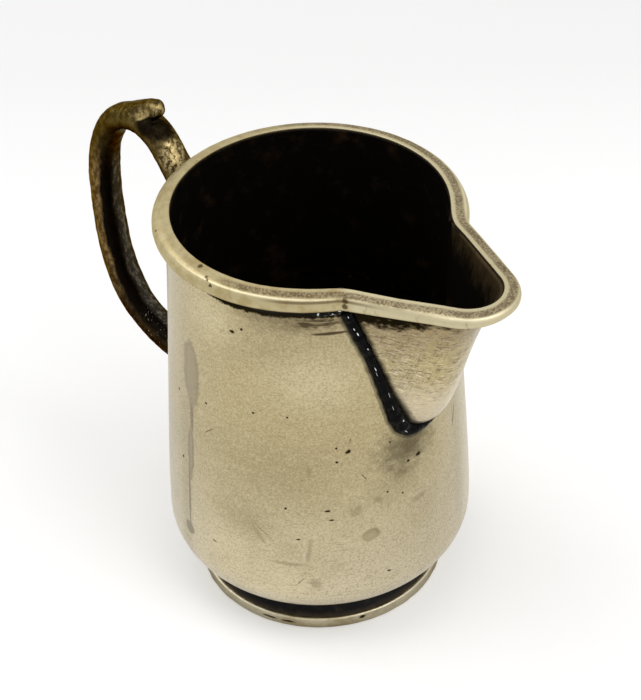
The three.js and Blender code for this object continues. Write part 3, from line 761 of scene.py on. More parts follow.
def make_wall_finish():
    """The body outside: soot by the seam, soot and painted shade under the wire, painted shade in two bands
    towards its sides, and the stains and pits of the front.
    """
    plate = new_plate("worn plate")
    height, edge, patchy, speck = plate.height, plate.edge, plate.patchy, plate.speck
    # Dim places, two of them bands of painted shade towards the sides; then pale places.
    plate.paint(0.62 * plate.marks(edge * 1.6, DIM_PLACES_AND_SHADE_BANDS, 0.9), (0.335, 0.275, 0.148))
    plate.paint(0.5 * plate.marks(edge * 1.6, PALE_PLACES, 0.9), (0.62, 0.54, 0.34))
    lay_grain(plate)

    off_bead = plate.bead + edge * 0.7
    soot_and_shade = off_bead.step(0.7, 0.1) * plate.around(9, 2) * 0.85
    strip = off_bead.step(1.0, 0.75) * plate.around(3, -4)
    plate.paint(strip * 0.7, (0.13, 0.115, 0.07))
    trace = off_bead.step(0.6, 0.8) * off_bead.step(1.15, 0.95) * patchy.step(0.42, 0.52)
    soot_and_shade = soot_and_shade | trace * plate.around(0, -6) * height.step(84, 76) * 0.3
    plate.paint(0.7 * plate.mark(edge * 1.4, *BLOB, 0.4), (0.14, 0.11, 0.06))
    soot_and_shade = soot_and_shade | 0.56 * plate.mark(edge * 2, *UNDER_SPOUT, 0.75)

    # The dark line just under the mouth wire: soot together with painted shade of the wire, laid in the soot
    # colour.
    wire_shade = plate.around(-99, -76) * -1.25 + 94.1
    line = (height + speck * 1.3 - wire_shade).step(0, 0.6) * (plate.around(-99, -91) * plate.around(24, 10))
    smear = 0.5 * plate.mark(edge * 2.2, *SMEAR, 0.7)
    band = plate.mark(edge * 2.2, *BAND, 0.5) * plate.spun.step(0.32, 0.5)
    tarnish = plate.mark(edge * 0.8, *TARNISH, 0.35)
    plate.paint(smear | band | tarnish, (0.065, 0.042, 0.016))
    soot_and_shade = soot_and_shade | line

    wobble = edge * 0.9
    lens = plate.marks(wobble, LENS, 0.2)
    plate.paint(0.6 * lens, (0.21, 0.17, 0.10))
    plate.paint(0.45 * (lens - plate.marks(wobble, LENS_CORE, 0.3)), (0.13, 0.095, 0.05))
    plate.paint(0.4 * plate.marks(edge, SMUDGES, 0.5), (0.20, 0.15, 0.07))
    oval = plate.mark(wobble, *OVAL, 0.2)
    plate.paint(0.5 * oval, (0.25, 0.19, 0.095))
    plate.paint(0.35 * (oval - plate.mark(wobble, *OVAL_CORE, 0.3)), (0.15, 0.11, 0.05))

    spread = [(angle, level, wide * PIT_SPREAD, high * PIT_SPREAD, lean)
              for angle, level, wide, high, lean in PITS]
    pits = plate.marks(speck * 1.2, spread, 0.35) | 0.7 * plate.marks(speck, SCRATCHES, 0.5)
    pits = pits | 0.5 * (plate.place.dots(4) + plate.broad * 0.06).step(0.085, 0.05)
    plate.paint(soot_and_shade, SOOT_AND_SHADE)
    plate.paint(pits, (0.035, 0.021, 0.010))
    plate.relief = plate.relief - pits * 1.5
    return plate_done(plate, soot_and_shade | pits)


def make_spout_finish():
    """The spout outside: hatched by the file, brown and sooty towards the wire and by the seam, with painted
    shade just under the wire.
    """
    plate = new_plate("filed plate")
    x, y, height, edge = plate.x, plate.y, plate.height, plate.edge
    lay_grain(plate)
    plate.paint(0.6 * x.step(33, 43), (0.53, 0.43, 0.19))
    side = x * -0.87 + y.number("ABSOLUTE") * 0.5
    flat = side.with_parts(height, y * 0.2)
    for turn, amount, colour in FILE_STROKES:
        lie = put(plate.tree, "ShaderNodeVectorRotate", flat, (0, 0, 0), turn, rotation_type="Z_AXIS")
        strokes = lie.grain(0.36, 3, 0.65, (6, 1, 2)).step(0.52, 0.64)
        plate.paint(amount * strokes * plate.patchy.step(0.38, 0.5), colour)
    plate.paint(0.6 * (height + edge * 10).step(78, 66), (0.74, 0.64, 0.46))
    plate.paint(0.6 * (height + edge * 18).step(78, 94), (0.20, 0.135, 0.066))
    spots = plate.place.grain(0.55, 3, 0.7).step(0.6, 0.72) * height.step(74, 90)
    plate.paint(0.7 * spots, (0.10, 0.06, 0.03))

    up = height.step(63, 72)
    flux = (plate.bead + edge * 1.6).step(1.9, 1.3) * (1 - up) * y.step(0.5, -1)
    plate.paint(0.62 * flux, (0.17, 0.145, 0.09))
    soot_and_shade = (plate.bead + edge * 1.8).step(1.3, 0) * (up * 0.35 + 0.5)
    # The dark band just under the lip wire: soot together with painted shade of the wire.
    ragged = edge * 9 + plate.speck * 2
    wire_shade = x.step(32, 48) * 2.4 + 89.6
    below = (height + ragged - wire_shade).step(0, 2.8)
    soot_and_shade = soot_and_shade | below * (x.step(38, 54) * -0.25 + 1)
    plate.paint(soot_and_shade, SOOT_AND_SHADE)
    return plate_done(plate, soot_and_shade)


def make_inside_finish(name, streaked=False):
    """The unpolished inside, nearly black, partly tarnish and partly painted shade of the deep inside; the
    spout's has brown streaks, lighter higher up and towards its far side as painted light.
    """
    inside = Finish(name, 0.4, 0.55)
    inside.set("Specular IOR Level", 0.15)
    inside.set("Specular Tint", (0.4, 0.33, 0.22))
    patchy = inside.place.grain(6, 4, 0.65)
    # Nearly black: tarnish together with painted shade of the deep inside.
    inside.ground(patchy.step(0.52, 0.8), (0.004, 0.003, 0.002), (0.03, 0.016, 0.008))
    if streaked:
        streaks = inside.place.grain(0.9, 3, 0.65, (1, 1, 5))
        # Brown streaks, lighter higher up and towards the far side: painted light reaching into the spout,
        # broken into streaks.
        light = (inside.height + (streaks * 14 + patchy * 12)).step(104, 116)
        inside.paint(0.8 * light * inside.y.step(-2, 4), (0.075, 0.05, 0.022))
    inside.paint(0.4 * inside.place.grain(0.7, 2, 0.6).step(0.66, 0.8), (0.06, 0.045, 0.02))
    return inside.done()


# Nicks of the mouth wire: place in millimetres, radius, and how dark; the last ones are the mitre's.
WIRE_NICKS = (
    ((-1.3, -31.2, 99.9), 0.75, 0.9), ((2.1, -32.7, 99.6), 0.5, 0.8), ((2.8, -33.0, 99.3), 0.42, 0.8),
    ((4.0, -33.5, 98.8), 0.5, 0.9), ((28.2, -18.9, 98.9), 0.9, 0.85), ((28.5, -19.3, 97.8), 0.8, 0.85),
    ((27.8, -18.4, 99.8), 0.7, 0.5),
)


def make_wire_finish():
    """The mouth wire: speckled dark along its top, brighter where it is rubbed, with a painted highlight on
    its outer arris and painted shade on its inner face.
    """
    wire = Finish("worn wire")
    wire.set("Specular Tint", (0.9, 0.85, 0.7))
    place = wire.place
    run = wire.stored("run", "Vector")
    across, drop = run.part("X"), run.part("Y")
    patchy, coarse, fine = place.grain(2.6, 3, 0.6), place.grain(0.48, 3, 0.7), place.grain(0.4, 2, 0.6)
    top = (fine * 0.3 + drop).step(-0.75, -0.35)
    ahead = wire.around(172, 125)
    calm = 1 - (wire.around(-70, -88) * 0.85 | ahead * -0.85 + 0.85)
    worn = across.step(0.7, 1.4) * across.step(3.1, 2.5) * top * calm
    wire.ground(patchy.step(0.4, 0.7), (0.48, 0.41, 0.235), (0.40, 0.32, 0.16))
    wire.paint(0.7 * (wire.around(-36, -30) * ahead), (0.60, 0.54, 0.36))
    # Painted highlight along the arris between the wire's top and its outer face.
    arris_highlight = across.step(3.0, 3.25) * across.step(3.7, 3.5) * top
    wire.paint(0.6 * arris_highlight, (0.80, 0.73, 0.52))
    wire.paint(0.62 * worn, (0.27, 0.21, 0.12))
    wire.paint((patchy * 0.35 + coarse).step(0.56, 0.78) * worn * 0.7, (0.075, 0.048, 0.026))
    wire.paint(0.75 * drop.step(-2.9, -3.6), (0.12, 0.08, 0.035))
    # A dark line just under the arris, near the spout's near corner.
    near_corner = wire.around(-66, -54) * wire.around(-20, -34)
    dark_line_under_arris = drop.step(-0.7, -0.9) * drop.step(-1.5, -1.15) * near_corner
    wire.paint(0.65 * dark_line_under_arris, (0.09, 0.055, 0.02))
    wire.paint(0.45 * place.grain(1.5, 3, 0.6, (1, 1, 3)).step(0.6, 0.75), (0.23, 0.165, 0.08))
    # Painted shade on the wire's inner face, which looks into the jug.
    wire.paint(0.85 * across.step(0.22, 0.02), (0.05, 0.034, 0.016))
    for centre, radius, amount in WIRE_NICKS:
        wire.paint(amount * place.near(centre, radius, (fine - 0.5) * 0.8), NICK)
    wire.paint(0.8 * (place.dots(6) + fine * 0.03).step(0.08, 0.06), (0.06, 0.035, 0.015))
    wire.set("Roughness", coarse * 0.3 + 0.32)
    return wire.done(coarse)


def make_ring_finish():
    """The foot ring: rubbed bright on its edge, brown low down and where it has sat, with its sides painted
    paler as a painted reflection of the table.
    """
    ring = Finish("worn ring")
    ring.set("Specular Tint", (0.42, 0.38, 0.3))
    patchy, fine = ring.place.grain(4, 4, 0.65), ring.place.grain(0.6, 2, 0.6)
    ring.ground(patchy.step(0.35, 0.65), (0.54, 0.48, 0.34), (0.36, 0.30, 0.18))
    rubbed = ring.height.step(FOOT_WIRE_HEIGHT - 0.5, FOOT_WIRE_HEIGHT - 0.1)
    ring.paint(0.5 * rubbed, (0.62, 0.55, 0.38))
    ring.paint(0.4 * (patchy * 1.6 + ring.height).step(2.5, 1), (0.17, 0.125, 0.06))
    # Painted reflection: the sides away from the front are painted paler, as if catching the bright table at
    # a grazing angle.
    ring.paint(0.6 * (1 - ring.mark(0, *RING_FRONT, 0.8)), (0.56, 0.52, 0.41))
    ring.paint(0.4 * fine.step(0.6, 0.75), (0.12, 0.08, 0.04))
    ring.paint(ring.marks(fine - 0.5, RING_NICKS, 0.4), (0.03, 0.02, 0.01))
    ring.set("Roughness", fine * 0.3 + 0.22)
    return ring.done(fine)


# Places on the handle that hold dirt, with painted shade in the crease under the spur; a rubbed patch with a
# painted highlight; and painted highlights where the spur's facet and point catch the light; each with its
# reach.
CREST_DIRT_AND_SHADE = (((-49.0, -2.8, 100.0), 3.4), ((-46.2, -1.0, 99.9), 4.8))
ROOT_DIRT = ((-37.5, -3.5, 88.0), 5.0)
RUBBED_WITH_HIGHLIGHT = ((-42.0, -1.4, 94.6), 4.4)
FACET = (((-46.7, -1.2, 104.0), 2.8), ((-50.4, -2.2, 101.8), 2.4), ((-48.4, -1.6, 102.6), 2.8))
SPUR_POINT_HIGHLIGHT = ((-46.0, -1.6, 105.2), 1.7)


def make_cast_finish():
    """Cast metal: black along one flank, brown-gold on its edges, crest and spur, partly where fingers have
    rubbed and partly painted light: a lit near flank, painted highlights on the crest and spur, and a grey
    painted reflection on the inner side.
    """
    cast = Finish("cast metal")
    cast.set("Specular Tint", (0.5, 0.42, 0.26))
    place = cast.place
    out, flank, along = (cast.stored(name) for name in ("outward", "flank", "along"))
    edge = place.grain(4, 4, 0.65, (1, 1, 2.2)) - 0.5
    small, fine = place.grain(1.1, 3, 0.65, (1, 1, 1.6)), place.grain(0.42, 3, 0.65)
    mottled = fine * 0.5 + small

    olive = mixed(small.step(0.35, 0.7), (0.050, 0.035, 0.012), (0.110, 0.078, 0.028))
    over = out + edge * 0.9
    upper = mixed(0.75 * over.step(0.1, -0.5), olive, PITCH)
    # Golden specks along the outside of the bend: wear together with painted highlight.
    upper = mixed(0.3 * mottled.step(0.74, 0.92) * over.step(0.3, 0.8), upper, (0.40, 0.30, 0.125))

    # The lower strand is painted by which way each place faces: amber on the outer, near flank as painted
    # light, black further round, and grey on the inner far side as a painted reflection.
    lit_amber = mixed(small.step(0.4, 0.66), (0.065, 0.038, 0.014), (0.22, 0.145, 0.06))
    lit_amber = mixed(0.85 * along.step(0.62, 0.78), lit_amber, PITCH)
    grey_reflection = mixed(small.step(0.45, 0.7), (0.035, 0.03, 0.022), (0.15, 0.13, 0.10))
    turn = out * -0.62 + flank * -0.77 + edge * 0.55
    strand = mixed((small * 0.5 + turn).step(-0.16, 0.06), lit_amber, PITCH)
    strand = mixed(0.8 * turn.step(0.34, 0.66), strand, grey_reflection)

    lower = (along + edge * 0.08).step(0.36, 0.46)
    cast.ground(lower, upper, strand)
    # Dirt at the root, and dirt with painted shade in the crease under the spur.
    dirt_and_shade = [place.near(*spot, edge * 3) for spot in CREST_DIRT_AND_SHADE] + [place.near(*ROOT_DIRT, edge * 5)]
    cast.paint(0.95 * union(dirt_and_shade), PITCH)
    # Rubbed brown-gold on the upper arm, together with a painted highlight.
    cast.paint(place.near(*RUBBED_WITH_HIGHLIGHT, edge * 5) * mottled.step(0.62, 0.86), (0.50, 0.39, 0.19))
    # Painted highlight where the spur's facet catches the light.
    slant = place.vector("DOT_PRODUCT", (-0.5, 0, 1)).step(126.1, 126.6)
    facet = union([place.near(*spot, edge) for spot in FACET])
    cast.paint(0.8 * facet * slant * small.step(0.35, 0.6), (0.42, 0.32, 0.135))
    # Painted highlight on the spur's point.
    cast.paint(0.8 * place.near(*SPUR_POINT_HIGHLIGHT, edge) * small.step(0.3, 0.5), (0.55, 0.44, 0.24))
    cast.paint(fine.step(0.58, 0.7) * (lower * 0.3 + 0.4), PITCH)
    cast.paint(0.7 * fine.step(0.36, 0.28) * along.step(0.74, 0.82), (0.45, 0.42, 0.36))
    cast.set("Roughness", small * 0.25 + 0.24)
    return cast.done(small, strength=0.6, depth=0.1)


# Glints of the black bead: across it and along it from the near corner, half width and half length.
GLINTS = (
    (0.2, 1.6, 0.08, 0.3), (0.3, 5.2, 0.09, 0.4), (0.1, 6.8, 0.15, 0.6), (-0.3, 11.6, 0.10, 0.3),
    (0.2, 17.4, 0.08, 0.6), (0.4, 18.9, 0.04, 0.7), (-0.2, 25.6, 0.04, 1.0), (0.2, 29.2, 0.04, 0.8),
    (-0.6, 34.4, 0.20, 0.22), (0.5, 37.4, 0.07, 0.8),
)


def make_bead_finish():
    """Black flux-burnt solder with a few wet-looking glints along its ridge."""
    bead = Finish("black solder", 0.0, 0.2)
    bead.set("Specular IOR Level", 0.03)
    run = bead.stored("run", "Vector")
    proud = run.part("Y")
    small = bead.place.grain(1.2, 3, 0.6)
    bead.ground(small.step(0.58, 0.8), (0.003, 0.003, 0.003), (0.02, 0.018, 0.013))
    glint = 0.6 * run.grain(0.5, 1, 0.5, (1, 1, 4)).step(0.76, 0.8) * proud.step(0.7, 0.9)
    flat = run.vector("MULTIPLY", (1, 0, 1))
    for across, along, wide, long in GLINTS:
        near = flat.vector("SUBTRACT", (across, 0, along)).vector("MULTIPLY", (1 / wide, 0, 1 / long))
        far = near.vector("LENGTH") + (small - 0.5) * 1.5
        glint = glint | far.step(1, 0.7) * proud.step(0, 0.3)
    bead.paint(glint, WET_GLINT)
    bead.set("Metallic", glint)
    return bead.done(small, strength=0.6, depth=0.12)


def make_fillet_finish():
    """Solder under the mouth wire: burnt black near the spout, plain metal elsewhere."""
    fillet = Finish("fillet solder")
    fillet.set("Specular IOR Level", 0.03)
    small = fillet.place.grain(1.5, 3, 0.6)
    burnt = (small * 0.2 + fillet.angle).step(math.radians(-89), math.radians(-83)) * fillet.around(60, 50)
    fillet.ground(burnt, (0.16, 0.12, 0.06), (0.005, 0.004, 0.003))
    glint = fillet.place.grain(0.8).step(0.62, 0.68) * fillet.around(-46, -42) * burnt
    fillet.paint(glint, WET_GLINT)
    fillet.set("Metallic", (1 - burnt) | glint)
    return fillet.done()


def make_neck_finish():
    """The waisted foot: black, old dirt together with painted shade under the belly, browner where it meets
    the ring.
    """
    neck = Finish("black neck", 0.0, 0.5)
    neck.set("Specular IOR Level", 0.1)
    patchy = neck.place.grain(3, 3, 0.6)
    # Near black: old dirt together with painted shade under the overhanging belly.
    neck.ground(patchy.step(0.5, 0.8), (0.006, 0.006, 0.007), (0.03, 0.024, 0.017))
    neck.paint(0.4 * (patchy * 1.4 + neck.height).step(4.4, 3.4), (0.10, 0.07, 0.035))
    return neck.done()


wall_finish = make_wall_finish()
spout_finish = make_spout_finish()
inside_finish = make_inside_finish("black inside")
spout_inside_finish = make_inside_finish("brown inside", streaked=True)
wire_finish = make_wire_finish()
ring_finish = make_ring_finish()
cast_finish = make_cast_finish()
bead_finish = make_bead_finish()
fillet_finish = make_fillet_finish()
neck_finish = make_neck_finish()


# Body and spout.

def seam_line():
    """The spout's seam on the body, from the near corner down round the foot to the far corner."""
    below = level_heights < WIRE_FOOT - 0.2
    heights = level_heights[below]
    radius = wall_radius(heights)
    skew = skew_angle(heights)
    near, far = (np.column_stack((radius * np.cos(angle), radius * np.sin(angle), heights))
                 for angle in (skew - near_angles[below], skew + far_angles[below]))
    return np.vstack((near[::-1], far[1:]))


BEAD_FOOT = 0.5  # share of the seam where it turns round the spout's foot
BEAD_EASE = 240  # times that the line is eased there, as the solder has filled the turn
BEAD_PROUD = 0.15  # how far its middle lies off the wall
# How far the bead has slipped to the side, and half its width, at shares of the seam.
BEAD_SLIP = ((0, 0), (0.15, 0.2), (0.22, 0.45), (0.33, 1.4), (0.41, 1.7), (0.45, 1.0), (0.48, 0.1),
             (0.6, 0), (1, 0))
BEAD_WIDE = ((0, 1.4), (0.08, 1.35), (0.13, 1.1), (0.22, 1.1), (0.3, 1.4), (0.38, 1.7), (0.45, 1.6),
             (0.5, 1.3), (0.53, 0.9), (0.57, 0.55), (0.62, 0.45), (1, 0.6))


def read_off(share, pairs):
    """Reads values at shares of a run off a few (share, value) pairs."""
    return np.interp(share, *zip(*pairs))


def bead_line():
    """The bead of solder along the seam: its path, the ways across it and out of it, and half its width."""
    path = spaced(seam_line(), BEAD_STATIONS)
    share = np.linspace(0, 1, len(path))
    weight = 0.5 * np.clip(1 - np.abs(share - BEAD_FOOT) / 0.12, 0, 1)[1:-1, None]
    for _ in range(BEAD_EASE):
        path[1:-1] += weight * (path[:-2] + path[2:] - 2 * path[1:-1])
    along = unit(np.gradient(path, axis=0))
    radial = unit(path * (1, 1, 0))
    across = unit(np.cross(along, radial))
    slip = read_off(share, BEAD_SLIP)
    slip = np.convolve(np.pad(slip, 9, "edge"), np.full(19, 1 / 19), "valid")
    path = path + across * slip[:, None] + radial * BEAD_PROUD
    coarse, fine = (np.array([noise.noise(Vector((s * waves, row, 0))) for s in share])
                    for waves, row in ((34, 3.1), (90, 7.7)))
    wide = read_off(share, BEAD_WIDE) * (1 + 0.2 * (coarse + 0.6 * fine))
    return share, path, across, np.cross(across, along), wide


def mark_seam(mesh):
    """Keeps each vertex's distance from the edge of the bead, which the soot follows."""
    _, line, _, _, wide = bead_line()
    points = vertices_of(mesh)
    nearest = np.full(len(points), FAR_AWAY)
    for spot, half in zip(line[::2], wide[::2]):
        nearest = np.minimum(nearest, np.sqrt(((points - spot) ** 2).sum(axis=1)) - half)
    add_values(mesh, "bead", nearest)


def thicken(thing, gauge, *finishes):
    """Gives a sheet its gauge inwards, with the last finish on the inside and the edges."""
    for finish in finishes:
        thing.data.materials.append(finish)
    solid = thing.modifiers.new("gauge", "SOLIDIFY")
    solid.thickness = gauge
    solid.offset = -1
    solid.use_even_offset = True
    solid.material_offset = 1
    solid.material_offset_rim = 1
    mark_seam(apply_modifiers(thing))


BODY_WAVES = (0.16, 16.0)  # the unevenness of the spun wall: its depth and its size


def make_body():
    """The spun body: flat base, round corner and wall, open where the spout is let in."""
    flat_radius = BELLY_RADIUS - BASE_CORNER
    base = [(r, BASE_HEIGHT) for r in np.linspace(0.0, flat_radius, 7)[:-1]]
    corner = [(flat_radius + BASE_CORNER * math.cos(a), BELLY_HEIGHT + BASE_CORNER * math.sin(a))
              for a in np.linspace(-math.pi / 2, 0, 22)]
    top = RIM_HEIGHT - RIM_SHEET_DROP
    high = [z for z in level_heights[1:] if z < top - 0.2] + [top]
    low_wall = wall_points(np.linspace(BELLY_HEIGHT, SPOUT_FOOT, 31)[1:])
    outline = np.array(base + corner + low_wall + wall_points(high))
    heights = outline[:, 1]
    skew = np.where(heights > SPOUT_FOOT, skew_angle(heights), math.radians(SPOUT_SKEW))
    far, near = (np.maximum(opening_angle(heights, angles) - SEAM_TUCK / MOUTH_RADIUS, 0)
                 for angles in (far_angles, near_angles))
    last = 2 * math.pi - near + skew
    thing = spin("jug_body", outline, BODY_STEPS, wall_finish, far + skew, last, BODY_WAVES)
    mesh = thing.data
    middle = mesh.polygons[len(mesh.polygons) // 2]
    if middle.normal.dot(Vector((*middle.center[:2], 0))) < 0:
        mesh.flip_normals()
    thicken(thing, WALL, inside_finish)
    place_piece(thing, "plated_sheet", "body_shell")


def turned(points, angle):
    c, s = math.cos(angle), math.sin(angle)
    return np.column_stack((points[:, 0] * c - points[:, 1] * s, points[:, 0] * s + points[:, 1] * c))


def make_spout():
    """The spout's bent sheet, level by level from its foot to the lip."""
    rings = []
    for near, far in zip(near_levels, far_levels):
        near_half = spaced(near["half"], SPOUT_HALF_COLUMNS) * (1, -1)
        full = np.vstack((near_half[::-1], spaced(far["half"], SPOUT_HALF_COLUMNS)[1:]))
        full = turned(full, float(skew_angle(near["height"])))
        rings.append(np.column_stack((full, np.full(len(full), near["height"]))))
    mesh = new_mesh("jug_spout", np.vstack(rings), grid_faces(len(rings), 2 * SPOUT_HALF_COLUMNS - 1))
    close_faces(mesh, MERGE, recalculate=False)
    thing = new_object("jug_spout", mesh)
    if mesh.polygons[len(mesh.polygons) // 2].normal.x < 0:
        mesh.flip_normals()
    shade_smooth(mesh)
    thicken(thing, SPOUT_WALL, spout_finish, spout_inside_finish)
    place_piece(thing, "plated_sheet", "spout")


make_body()
make_spout()


# Mouth wire.

# Its section as corners of (out, up, how far each is rounded off), crisp and rubbed round.
CRISP = ((WIRE_INNER, -1.5, 0.1), (WIRE_INNER, 0, 0.3), (2.3, -0.5, 0.3), (WIRE_OUTER, -2.0, 0.8),
         (WIRE_OUTER - 0.1, -WIRE_HEIGHT, 0.9), (0.2, -WIRE_HEIGHT, 0.3))
RUBBED_ROUND = ((WIRE_INNER, -1.5, 0.1), (WIRE_INNER, 0, 0.4), (1.1, -0.12, 1.0), (WIRE_OUTER, -1.6, 1.0),
                (WIRE_OUTER - 0.1, -WIRE_HEIGHT, 0.9), (0.2, -WIRE_HEIGHT, 0.3))

# Along the wire the stage runs from 0 at the near corner round the rim to 1 at the far corner, then over
# the far side to 2, the nose to 3 and the near side to 4. These say how far its two edges move outward
# there in millimetres, how rubbed it is, and its height, from the tip's at 0 to the rim's at 1.
INNER_SHIFT = ((0, 0.5), (0.02, 0.3), (0.06, 0), (0.95, 0), (1.0, 0.1), (1.3, 0.4), (1.9, 0.45), (2.5, 0.4),
               (2.95, 0), (3.15, 0.1), (3.5, 0.65), (3.85, 0.55), (4, 0.5))
OUTER_SHIFT = ((0, 0), (0.04, 0.03), (0.2, 0.08), (0.9, 0.05), (1.0, 0.1), (1.3, 0.15), (1.8, 0.12),
               (2.3, -0.02), (2.6, -0.03), (3.0, 0), (3.3, -0.02), (4, 0))
ROUNDNESS = ((0, 0), (0.05, 0.05), (0.16, 0.3), (0.24, 0.7), (0.36, 1), (0.8, 0.6), (1.0, 0.2), (2.9, 0.1),
             (3.0, 0.6), (3.15, 0.6), (3.35, 0.1), (4, 0))
HEIGHT_SHARE = ((0, 1), (1, 1), (2.5, 0), (4, 1))
WIRE_LUMPS = (0.12, 1.6, 1.6)


def softened(corners, steps=6):
    """A closed outline through corners of (x, y, reach), each rounded off over its reach."""
    points = []
    for i, (x, y, reach) in enumerate(corners):
        here = np.array((x, y))
        before = np.array(corners[i - 1][:2]) - here
        after = np.array(corners[(i + 1) % len(corners)][:2]) - here
        first = here + before / np.hypot(*before) * reach
        last = here + after / np.hypot(*after) * reach
        points += bend(first, here, last, steps)
    return np.array(points)


def section_shares(corners):
    """The wire's section, as shares of the way across it and millimetres up."""
    outline = softened(corners)
    return np.column_stack(((outline[:, 0] - WIRE_INNER) / (WIRE_OUTER - WIRE_INNER), outline[:, 1]))


def circle_points(angles, radius):
    return np.column_stack((np.cos(angles), np.sin(angles))) * radius


def mouth_side(half_angle, out, sign):
    """One side of the lip moved outward: its corner with the rim, its end at the nose, and the turn there."""
    level = spout_level(1.0, half_angle)
    turn = level["turn"]
    ahead = np.array((math.cos(turn), math.sin(turn)))
    touch = np.array((level["centre"], 0)) + (level["nose"] + out) * ahead
    back = np.array((-math.sin(turn), math.cos(turn)))
    if back[0] > 0:
        back = -back
    behind = touch @ back
    far = -behind - math.sqrt(behind * behind - touch @ touch + (MOUTH_RADIUS + out) ** 2)
    return (touch + back * far) * (1, sign), touch * (1, sign), sign * turn


def mouth_outline(out, rim_steps=300, side_steps=44, nose_steps=48):
    """The mouth in plan moved outward: rim, far side, nose and near side; and the stage of each point."""
    far_corner, far_touch, far_turn = mouth_side(FAR_HALF_ANGLE, out, 1)
    near_corner, near_touch, near_turn = mouth_side(NEAR_HALF_ANGLE, out, -1)
    level = spout_level(1.0, FAR_HALF_ANGLE)
    first = math.atan2(near_corner[1], near_corner[0]) + 2 * math.pi
    last = math.atan2(far_corner[1], far_corner[0])
    rim = circle_points(np.linspace(first, last, rim_steps), MOUTH_RADIUS + out)
    share = np.linspace(0, 1, side_steps)[1:, None]
    far_side = far_corner + (far_touch - far_corner) * share
    nose = circle_points(np.linspace(far_turn, near_turn, nose_steps)[1:], level["nose"] + out)
    near_side = near_touch + (near_corner - near_touch) * share
    stage = np.concatenate((np.linspace(0, 1, rim_steps), 1 + share[:, 0],
                            2 + np.linspace(0, 1, nose_steps)[1:], 3 + share[:, 0]))
    return np.vstack((rim, far_side, nose + (level["centre"], 0), near_side)), stage


def ease(points, stage, where, width, rounds):
    """Rounds a closed line off about a stage of its run."""
    points = points[:-1].copy()
    far = np.abs((stage[:-1] - where + 2) % 4 - 2)
    weight = np.clip(1 - far / width, 0, 1)[:, None] * 0.5
    for _ in range(rounds):
        points += weight * (np.roll(points, 1, axis=0) + np.roll(points, -1, axis=0) - 2 * points)
    return np.vstack((points, points[:1]))


def make_mouth_wire():
    """The flat-topped wire round the mouth and the lip, thinner towards the spout's tip."""
    inner, stage = mouth_outline(WIRE_INNER)
    outer, _ = mouth_outline(WIRE_OUTER)
    for where, inner_rounds, outer_rounds in ((1.0, 40, 6), (4.0, 16, 1)):
        inner = ease(inner, stage, where, 0.12, inner_rounds)
        outer = ease(outer, stage, where, 0.05, outer_rounds)
    per_mm = (outer - inner) / (WIRE_OUTER - WIRE_INNER)
    inner_shift, outer_shift = read_off(stage, INNER_SHIFT), read_off(stage, OUTER_SHIFT)
    path = inner + per_mm * inner_shift[:, None]
    across = per_mm * (WIRE_OUTER - WIRE_INNER + outer_shift - inner_shift)[:, None]
    heights = LIP_TIP_HEIGHT + (WIRE_HEIGHT - LIP_TIP_HEIGHT) * read_off(stage, HEIGHT_SHARE)
    count = len(path)
    path = np.column_stack((path, np.full(count, float(RIM_HEIGHT))))
    across = np.column_stack((across, np.zeros(count)))
    up = np.column_stack((np.zeros((count, 2)), heights / WIRE_HEIGHT))
    thing = sweep("mouth_wire", path, across, up, section_shares(CRISP), wire_finish, WIRE_LUMPS,
                  section_shares(RUBBED_ROUND), read_off(stage, ROUNDNESS))
    place_piece(thing, "worn_wire", "rim_wire", "spout_lip_wire")


make_mouth_wire()


# Foot.

def arc(centre, radius, first, last, steps=6):
    angles = np.radians(np.linspace(first, last, steps))
    return [(centre[0] + radius * math.cos(a), centre[1] + radius * math.sin(a)) for a in angles]


def make_foot_ring():
    """The heavy ring that the jug stands on, rough from wear but flat underneath."""
    edge = FOOT_WIRE_EDGE
    inner, outer = FOOT_RADIUS - FOOT_WIRE_WIDTH, FOOT_RADIUS - edge
    ring = [(inner, 0.0), (outer - 1, 0.0)] + arc((outer, edge), edge, -90, 0)
    ring += arc((outer, FOOT_WIRE_HEIGHT - edge), edge, 0, 90) + [(outer - 1, FOOT_WIRE_HEIGHT)]
    ring += [(inner, FOOT_WIRE_HEIGHT), (inner, 0.0)]
    thing = spin("foot_ring", ring, FOOT_STEPS, ring_finish)
    close_faces(thing.data, MERGE)
    points = vertices_of(thing.data)
    rough = ripple(points, normals_of(thing.data), 2.4, 0.10, 3)
    move_vertices(thing.data, np.where((points[:, 2] > 0.2)[:, None], rough, points))
    place_piece(thing, "worn_wire", "foot_wire")


def make_foot_neck():
    """The waisted neck between the ring and the base."""
    low = np.array((FOOT_RADIUS - FOOT_WIRE_EDGE, FOOT_WIRE_HEIGHT - 0.2))
    waist = np.array((NECK_RADIUS - NECK_HOLLOW, (BASE_HEIGHT + FOOT_WIRE_HEIGHT) / 2))
    high = np.array((NECK_RADIUS + 0.4, BASE_HEIGHT + 0.1))
    outer = np.array(bend(low, waist, high, NECK_POINTS))
    thing = spin("foot_neck", np.vstack((outer, outer[::-1] - (WALL, 0), outer[:1])), FOOT_STEPS, neck_finish)
    close_faces(thing.data, MERGE)
    place_piece(thing, "plated_sheet", "foot_collar", "foot_solder")


make_foot_ring()
make_foot_neck()


# Handle.

